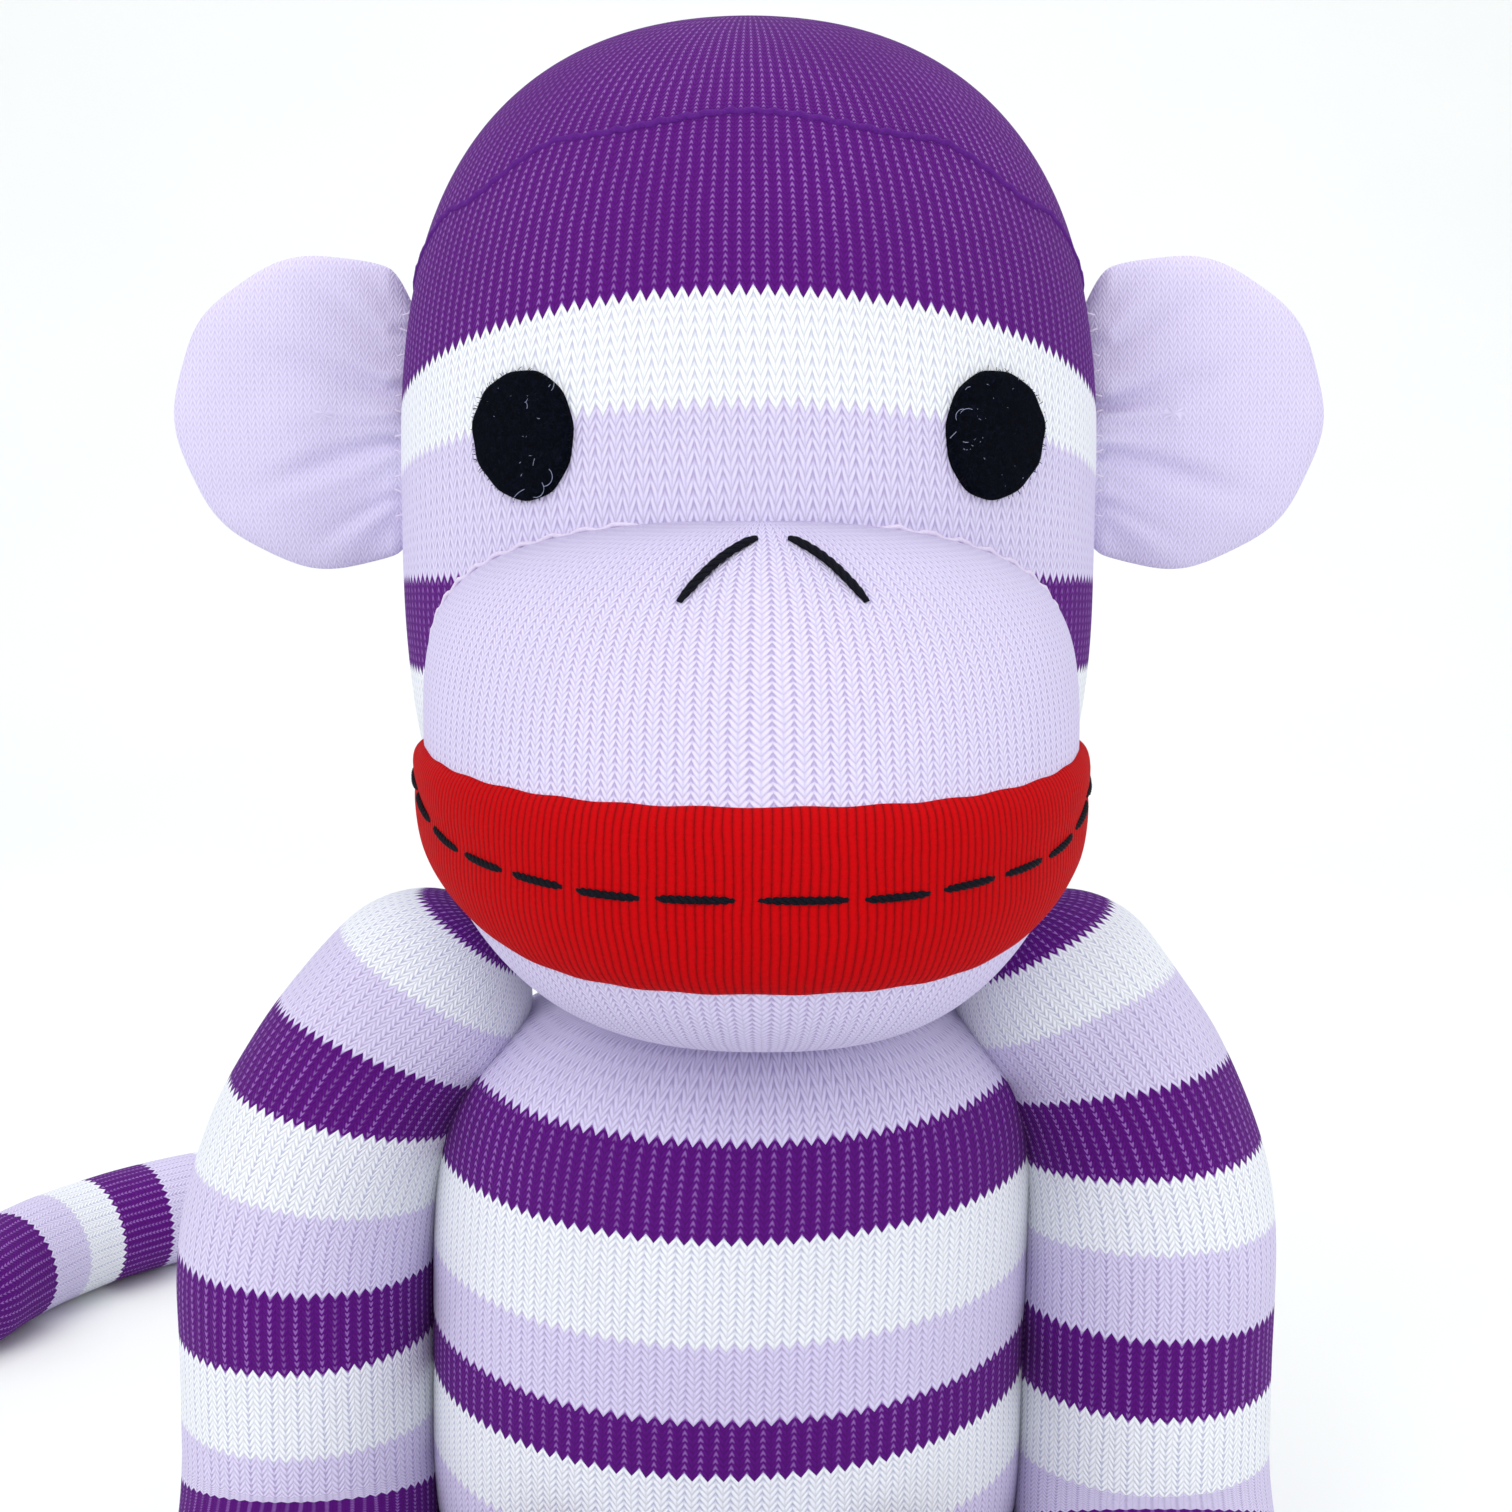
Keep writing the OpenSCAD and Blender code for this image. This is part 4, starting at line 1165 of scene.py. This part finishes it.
@dataclass
class Arm:
    """An arm: its shoulder curve, a slack wrist and a rounded hand."""

    side: Side
    pivot: Vector
    hang: float = 73.2
    radius: float = 18.5
    hand: float = 23.0
    curve: float = 73.0
    wrist_curve: float = 26.0
    wrist_turn: float = 40.0
    hand_length: float = 2.0
    columns: float = 66.0

    def stations(self) -> list[tuple[Vector, Vector, float, float]]:
        """Centre, direction, radius and mm along, from the shoulder to the hand's end."""
        sign = self.side.value
        reach = self.hang - sign * self.pivot.x
        slope = math.acos(1 - reach / self.curve)
        wrist_z = self.pivot.z - self.curve * math.sin(slope)
        bend_z = (self.hand + 1 + self.wrist_curve * math.sin(math.radians(self.wrist_turn))
                  + self.hand_length * math.cos(math.radians(self.wrist_turn)))
        mid = mix(self.radius, self.hand, 0.85)
        first = Vector((sign * math.sin(slope), 0, -math.cos(slope)))
        out = [(self.pivot - first * self.radius * 0.995, first, 0.0, -self.radius * 1.3)]
        for a in range(10, 90, 9):
            c, s = math.cos(math.radians(a)), math.sin(math.radians(a))
            out.append((self.pivot - first * self.radius * c, first, self.radius * s, -self.radius * math.radians(90 - a)))
        run = 0.0
        arc = self.curve * slope
        for i in range(20):
            f = i / 20
            a = slope * (1 - f)
            x = reach - self.curve * (1 - math.cos(a))
            out.append((Vector((self.pivot.x + sign * x, self.pivot.y, wrist_z + self.curve * math.sin(a))),
                        Vector((sign * math.sin(a), 0, -math.cos(a))), mix(self.radius, mid, ease(f)), arc * f))
        drop = wrist_z - bend_z
        for i in range(6):
            f = i / 6
            out.append((Vector((self.pivot.x + sign * reach, self.pivot.y, wrist_z - drop * f)), Vector((0, 0, -1)),
                        mid, arc + drop * f))
        run = arc + drop
        for i in range(20):
            f = i / 19
            b = math.radians(self.wrist_turn * f)
            centre = Vector((self.pivot.x + sign * reach, self.pivot.y - self.wrist_curve * (1 - math.cos(b)),
                             bend_z - self.wrist_curve * math.sin(b)))
            out.append((centre, Vector((0, -math.sin(b), -math.cos(b))), mix(mid, self.hand, f),
                        run + self.wrist_curve * b))
        run += self.wrist_curve * math.radians(self.wrist_turn)
        wrist, way = out[-1][0], out[-1][1]
        for i in range(1, 5):
            out.append((wrist + way * self.hand_length * i / 4, way, self.hand, run + self.hand_length * i / 4))
        run += self.hand_length
        end = wrist + way * self.hand_length
        for a in range(81, 5, -9):
            c, s = math.cos(math.radians(a)), math.sin(math.radians(a))
            out.append((end + way * self.hand * c, way, self.hand * s, run + self.hand * math.radians(90 - a)))
        out.append((end + way * self.hand * 0.995, way, 0.0, run + self.hand * 1.55))
        return out

    def seam(self) -> bpy.types.Object:
        """Builds the overcast seam between shoulder and body, deep in the fold."""
        path = []
        for i in range(240):
            turn = 2 * math.pi * i / 240
            near = 10.5 + 0.5 * math.cos(30 * turn)
            path.append(self.pivot + Vector((self.side.value * (0.8 * math.sin(30 * turn) - 9.0), near * math.cos(turn),
                                             near * math.sin(turn))))
        return strand(f"shoulder_overcast_{self.side.name.lower()}", path, 0.3, loop=True)

    def cover(self) -> bpy.types.Object:
        """Builds the arm's cover."""
        sign = self.side.value

        def askew(along: float, outward: float) -> float:
            """Rows near the shoulder hang flatter than the arm's own slope."""
            share = table(along, ((-20, 0.2), (0, 0.28), (15, 0.31), (50, 0.03), (60, 0.0)))
            return share * outward * sign

        return tube(f"arm_cover_{self.side.name.lower()}", self.stations(), 64, self.columns, askew, seed=3.0 * sign)


@dataclass
class Leg:
    """A leg lying forward, toes to the front."""

    side: Side
    pivot: Vector
    radius: float = 22.5
    ankle: float = 20.5
    length: float = 170.0

    def stations(self) -> list[tuple[Vector, Vector, float, float]]:
        """Centre, direction, radius and mm along, from the hip to the toe."""
        way = Vector((0, -1, 0))
        toe = self.length - self.radius
        out = [(self.pivot - way * self.radius * 0.995, way, 0.0, -self.radius * 1.5)]
        for a in range(10, 90, 10):
            c, s = math.cos(math.radians(a)), math.sin(math.radians(a))
            out.append((self.pivot - way * self.radius * c, way, self.radius * s, -self.radius * math.radians(90 - a)))
        for i in range(45):
            f = i / 44
            out.append((self.pivot + way * toe * f, way, mix(self.radius, self.ankle, math.sin(math.pi * f) ** 2), toe * f))
        for a in range(80, 5, -10):
            c, s = math.cos(math.radians(a)), math.sin(math.radians(a))
            out.append((self.pivot + way * (toe + self.radius * c), way, self.radius * s,
                        toe + self.radius * math.radians(90 - a)))
        out.append((self.pivot + way * (self.length - 0.1), way, 0.0, toe + self.radius * 1.55))
        return out

    def cover(self) -> bpy.types.Object:
        """Builds the leg's cover, kept above the plane that it rests on."""
        made = tube(f"leg_cover_{self.side.name.lower()}", self.stations(), 64, 70.0, seed=8.0 * self.side.value)
        for vertex in made.data.vertices:
            vertex.co.z = max(vertex.co.z, 0.0)
        return made


@dataclass
class Tail:
    """The tail's tube, on the surface behind the seat, curling to the monkey's right."""

    pivot: Vector
    radius: float = 13.6
    straight: float = 60.0
    curve: float = 92.0
    joint_at: float = 60.0
    end_at: float = 168.0

    def place(self, run: float) -> tuple[Vector, Vector]:
        """The tail's middle and its way at mm along."""
        a = max(run - self.straight, 0) / self.curve
        return (Vector((self.pivot.x - self.curve * (1 - math.cos(a)),
                        self.pivot.y + min(run, self.straight) + self.curve * math.sin(a), self.pivot.z)),
                Vector((-math.sin(a), math.cos(a), 0)))

    def cover(self) -> bpy.types.Object:
        """Builds the tail's cover."""
        end = self.straight + self.curve * math.radians(self.end_at)
        out = []
        start, way = self.place(0)
        out.append((start - way * self.radius * 0.995, way, 0.0, -self.radius * 1.5))
        for a in range(10, 90, 10):
            c, s = math.cos(math.radians(a)), math.sin(math.radians(a))
            out.append((start - way * self.radius * c, way, self.radius * s, -self.radius * math.radians(90 - a)))
        steps = 120
        for i in range(steps + 1):
            at, way = self.place(end * i / steps)
            out.append((at, way, self.radius, end * i / steps))
        at, way = self.place(end)
        for a in range(80, 5, -10):
            c, s = math.cos(math.radians(a)), math.sin(math.radians(a))
            out.append((at + way * self.radius * c, way, self.radius * s, end + self.radius * math.radians(90 - a)))
        out.append((at + way * self.radius * 0.995, way, 0.0, end + self.radius * 1.5))
        made = tube("tail_cover", out, 40, 42.0, seed=5.0, grain=0.3)
        for vertex in made.data.vertices:
            vertex.co.z = max(vertex.co.z, 0.0)
        return made

    def joint(self, offset: float) -> Vector:
        """A point of the tail, in metres, offset mm along from its second joint."""
        return self.place(self.straight + self.curve * math.radians(self.joint_at) + offset)[0] * MM


# ---------------------------------------------------------------- studio


@dataclass
class Studio:
    """A pale floor, soft lights and the camera."""

    eye: Vector
    pitch: float = 9.0
    lens: float = 52.4

    def build(self) -> None:
        """Sets the floor, lights, world and camera."""
        deselect()
        bpy.ops.mesh.primitive_plane_add(size=8.0, location=(0, -3.3, 0))
        floor = bpy.context.view_layer.objects.active
        floor.name = "floor"
        # The far edge sweeps up into a backdrop.
        bpy.ops.object.mode_set(mode="EDIT")
        bpy.ops.mesh.select_mode(type="VERT")
        bpy.ops.mesh.select_all(action="DESELECT")
        bpy.ops.object.mode_set(mode="OBJECT")
        for vertex in floor.data.vertices:
            vertex.select = vertex.co.y > 1.0
        bpy.ops.object.mode_set(mode="EDIT")
        for i in range(12):
            a = math.radians(90 * (i + 0.5) / 12)
            bpy.ops.mesh.extrude_region_move(TRANSFORM_OT_translate={"value": (0, 0.08 * math.cos(a), 0.08 * math.sin(a))})
        bpy.ops.mesh.extrude_region_move(TRANSFORM_OT_translate={"value": (0, 0, 3.0)})
        bpy.ops.object.mode_set(mode="OBJECT")
        smooth(floor)
        paint, tree, shader = blank("matt_white_paint")
        mottle = node(tree, "ShaderNodeTexNoise", {"Vector": node(tree, "ShaderNodeTexCoord").outputs["Object"],
                                                   "Scale": 6.0}).outputs["Fac"]
        tint = node(tree, "ShaderNodeMix", {0: mottle, 6: linear("#F2F3F3"), 7: linear("#EDEFF0")}, data_type="RGBA")
        tree.links.new(tint.outputs[2], shader.inputs["Base Color"])
        shader.inputs["Roughness"].default_value = 0.75
        dress(floor, paint)
        world = bpy.data.worlds.new("soft_room")
        world.use_nodes = True
        sky = world.node_tree.nodes["Background"]
        sky.inputs["Color"].default_value = linear("#F4F5F4")
        sky.inputs["Strength"].default_value = 0.95
        bpy.context.scene.world = world
        self.lamp("window", (-0.75, -0.95, 1.05), (0.0, 0.0, 0.16), 1.0, 7.5)
        self.lamp("fill", (0.95, -0.8, 0.55), (0.0, 0.0, 0.14), 0.9, 3.0)
        self.lamp("top", (0.1, 0.35, 1.3), (0.0, 0.0, 0.2), 0.9, 4.5)
        shot = bpy.data.cameras.new("camera")
        shot.lens, shot.sensor_width = self.lens, 36.0
        shot.clip_start, shot.clip_end = 0.01, 50.0
        camera = bpy.data.objects.new("camera", shot)
        camera.location = self.eye * MM
        camera.rotation_euler = (math.radians(90 - self.pitch), 0, 0)
        bpy.context.scene.collection.objects.link(camera)
        bpy.context.scene.camera = camera
        bpy.context.scene.view_settings.view_transform = "Standard"

    def lamp(self, name: str, at: tuple[float, float, float], to: tuple[float, float, float], size: float,
             power: float) -> None:
        """Adds a soft square lamp, in metres and watts."""
        light = bpy.data.lights.new(name, "AREA")
        light.size, light.energy = size, power
        lamp = bpy.data.objects.new(name, light)
        lamp.location = at
        lamp.rotation_euler = (Vector(to) - Vector(at)).to_track_quat("-Z", "Y").to_euler()
        bpy.context.scene.collection.objects.link(lamp)


# ---------------------------------------------------------------- the whole monkey


def pivot(frame: dict, joint: str) -> Vector:
    """A joint's place in mm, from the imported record."""
    found = next(j for j in frame["record"]["behaviour"]["joints"] if j["name"] == joint)
    return Vector(found["pos_m"]) / MM


def finish_piece(piece: bpy.types.Object, material: bpy.types.Material, stands_for: Sequence[str]) -> bpy.types.Object:
    """Dresses a piece, hides the nodes that it stands for and logs its face count."""
    dress(piece, material)
    if stands_for:
        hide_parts(*stands_for)
    LOG.info("%s: %d faces", piece.name, len(piece.data.polygons))
    return piece


def main() -> None:
    """Builds every piece in order, from the torso outwards."""
    logging.basicConfig(level=logging.INFO, format="%(name)s %(message)s")
    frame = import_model()
    deselect()
    neck = pivot(frame, "neck_turn")

    # Torso and neck.
    torso_bands = ((-12.0, Yarn.LILAC), (6.0, Yarn.WHITE), (19.5, Yarn.PURPLE), (32.5, Yarn.LILAC), (45.5, Yarn.WHITE),
                   (59.2, Yarn.PURPLE), (67.9, Yarn.LILAC), (80.4, Yarn.WHITE), (97.4, Yarn.PURPLE),
                   (113.2, Yarn.LILAC))
    torso_knit = SockKnit("torso_jersey", torso_bands, 140.0, gap=0.5).make()
    torso = Torso(neck)
    cover = torso.cover()
    stuff(cover, lambda p: p.z < 1.0 or p.z > neck.z - 8, 2.0, 1.2)
    subdivide(cover)
    finish_piece(cover, torso_knit, ("torso_skin", "torso_stuffing"))
    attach(cover, "torso")
    pale = Thread("pale_thread", "#CBBFDD", "#E9E0F3").make()
    bpy.context.view_layer.update()
    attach(finish_piece(torso.closing(cover), pale, ("closing_stitches",)), "torso")
    lilac = SockKnit("lilac_jersey", ((-60.0, Yarn.LILAC),), 400.0, gap=0.75, relief=0.5).make()
    sleeve = Neck(neck).cover()
    subdivide(sleeve)
    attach(finish_piece(sleeve, lilac, ("neck_stuffing",)), "neck")

    # Head.
    head = Head(neck)
    base = neck.z
    head_bands = ((100.0, Yarn.LILAC), (base + 11.0, Yarn.PURPLE), (base + 25.5, Yarn.LILAC), (base + 39.0, Yarn.WHITE),
                  (base + 53.0, Yarn.PURPLE), (base + 67.7, Yarn.LILAC), (base + 82.1, Yarn.WHITE),
                  (base + 93.4, Yarn.PURPLE))
    head_knit = SockKnit("head_jersey", head_bands, 300.0, gap=0.45).make()
    skull = head.cover()
    stuff(skull, lambda p: p.z < neck.z + 14, 2.0, 0.8)
    subdivide(skull)
    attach(finish_piece(skull, head_knit, ("head_skin", "head_stuffing")), "head")
    purple = Thread("purple_thread", "#3F0C60", "#662290").make()
    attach(finish_piece(head.toe_seam(), purple, ()), "head")

    # Muzzle, mouth and nose.
    muzzle = Muzzle(head)
    snout = muzzle.cover()
    stuff(snout, lambda p: p.y > head.front(p.x - neck.x, p.z) - 4, 1.6, 0.8)
    subdivide(snout)
    snout_knit = SockKnit("muzzle_jersey", ((-60.0, Yarn.LILAC),), 400.0, gap=0.8, relief=0.5).make()
    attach(finish_piece(snout, snout_knit, ("muzzle_skin", "muzzle_stuffing")), "head")
    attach(finish_piece(muzzle.edge(), pale, ("muzzle_seam",)), "head")
    mouth = Mouth(muzzle)
    band = mouth.band()
    subdivide(band)
    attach(finish_piece(band, RibKnit("red_rib_knit").make(), ("mouth_band",)), "head")
    black = Thread("black_thread", "#020308", "#10121F").make()
    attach(finish_piece(mouth.stitches(), black, ("mouth_stitches",)), "head")
    nose = Nose(muzzle)
    for side in Side:
        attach(finish_piece(nose.stitch(side), black, (f"nostril_{side.name.lower()}",)), "head")

    # Eyes and ears.
    felt = Felt("black_wool_felt").make()
    lint = Thread("pale_lint", "#7F8CB8", "#C6CCE6").make()
    for side in Side:
        name = side.name.lower()
        eye = Eye(head, side)
        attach(finish_piece(eye.pad(), felt, (f"eye_{name}",)), "head")
        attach(finish_piece(eye.fibres(True), lint, ()), "head")
        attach(finish_piece(eye.fibres(False), black, ()), "head")
        ear = Ear(head, side, pivot(frame, f"ear_{name}_fold"))
        pouch = ear.cover()
        stuff(pouch, lambda p, s=side: s.value * (p.x - neck.x) < 60, 1.2, 1.0)
        subdivide(pouch)
        ear_knit = SockKnit(f"ear_jersey_{name}", ((-60.0, Yarn.LILAC),), 400.0, gap=0.12, relief=0.25).make()
        finish_piece(pouch, ear_knit, (f"ear_{name}_skin", f"ear_{name}_stuffing"))
        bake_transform(pouch)
        overcast = finish_piece(ear.stitches(), pale, (f"ear_{name}_stitches",))
        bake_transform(overcast)

    # Limbs.
    for side in Side:
        name = side.name.lower()
        offset = {Side.LEFT: 14.2, Side.RIGHT: 8.4}[side]
        top = {Side.LEFT: -13.0, Side.RIGHT: -17.0}[side]
        arm = Arm(side, pivot(frame, f"shoulder_{name}_swing"))
        sleeve = arm.cover()
        end = arm.stations()[-1][3]
        bands = ((offset - 60.0, Yarn.PURPLE), (top, Yarn.WHITE), ((top + offset) / 2, Yarn.LILAC),
                 *hoops(offset, end - 20, Yarn.PURPLE))
        arm_knit = SockKnit(f"arm_jersey_{name}", bands, 240.0, gap=0.95, rib=0.55).make()
        stuff(sleeve, lambda p, a=arm: (p - a.pivot).length < 20, 2.0, 0.8)
        subdivide(sleeve)
        finish_piece(sleeve, arm_knit, (f"arm_{name}_skin", f"arm_{name}_stuffing"))
        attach(sleeve, f"arm_{name}")
        seam = finish_piece(arm.seam(), purple, (f"shoulder_{name}_seam",))
        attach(seam, f"shoulder_{name}")
        leg = Leg(side, pivot(frame, f"hip_{name}_swing"))
        trouser = leg.cover()
        bands = hoops(-31.0, 130.0, Yarn.LILAC) + ((151.0, Yarn.PURPLE),)
        leg_knit = SockKnit(f"leg_jersey_{name}", bands, 240.0, gap=0.9, rib=0.5).make()
        subdivide(trouser)
        finish_piece(trouser, leg_knit, (f"leg_{name}_skin", f"leg_{name}_stuffing"))
        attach(trouser, f"leg_{name}")

    # Tail.
    tail = Tail(pivot(frame, "tail_swing"))
    tail_knit = SockKnit("tail_jersey", hoops(-36.0, 320.0, Yarn.LILAC), 400.0, gap=0.9, rib=0.5).make()
    brush = tail.cover()
    subdivide(brush)
    finish_piece(brush, tail_knit,
                 ("tail_root_skin", "tail_root_stuffing", "tail_tip_skin", "tail_tip_stuffing"))
    tuple(tail.joint(-14))
    tuple(tail.joint(14))
    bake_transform(brush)

    # The seams that stay as the frame has them.
    for seam in ("neck_gather_thread", "hip_left_seam", "hip_right_seam", "tail_seam"):
        dress(bpy.data.objects[seam], pale)

    Studio(Vector((5.2, -370.0, 222.0))).build()


if __name__ == "__main__":
    main()
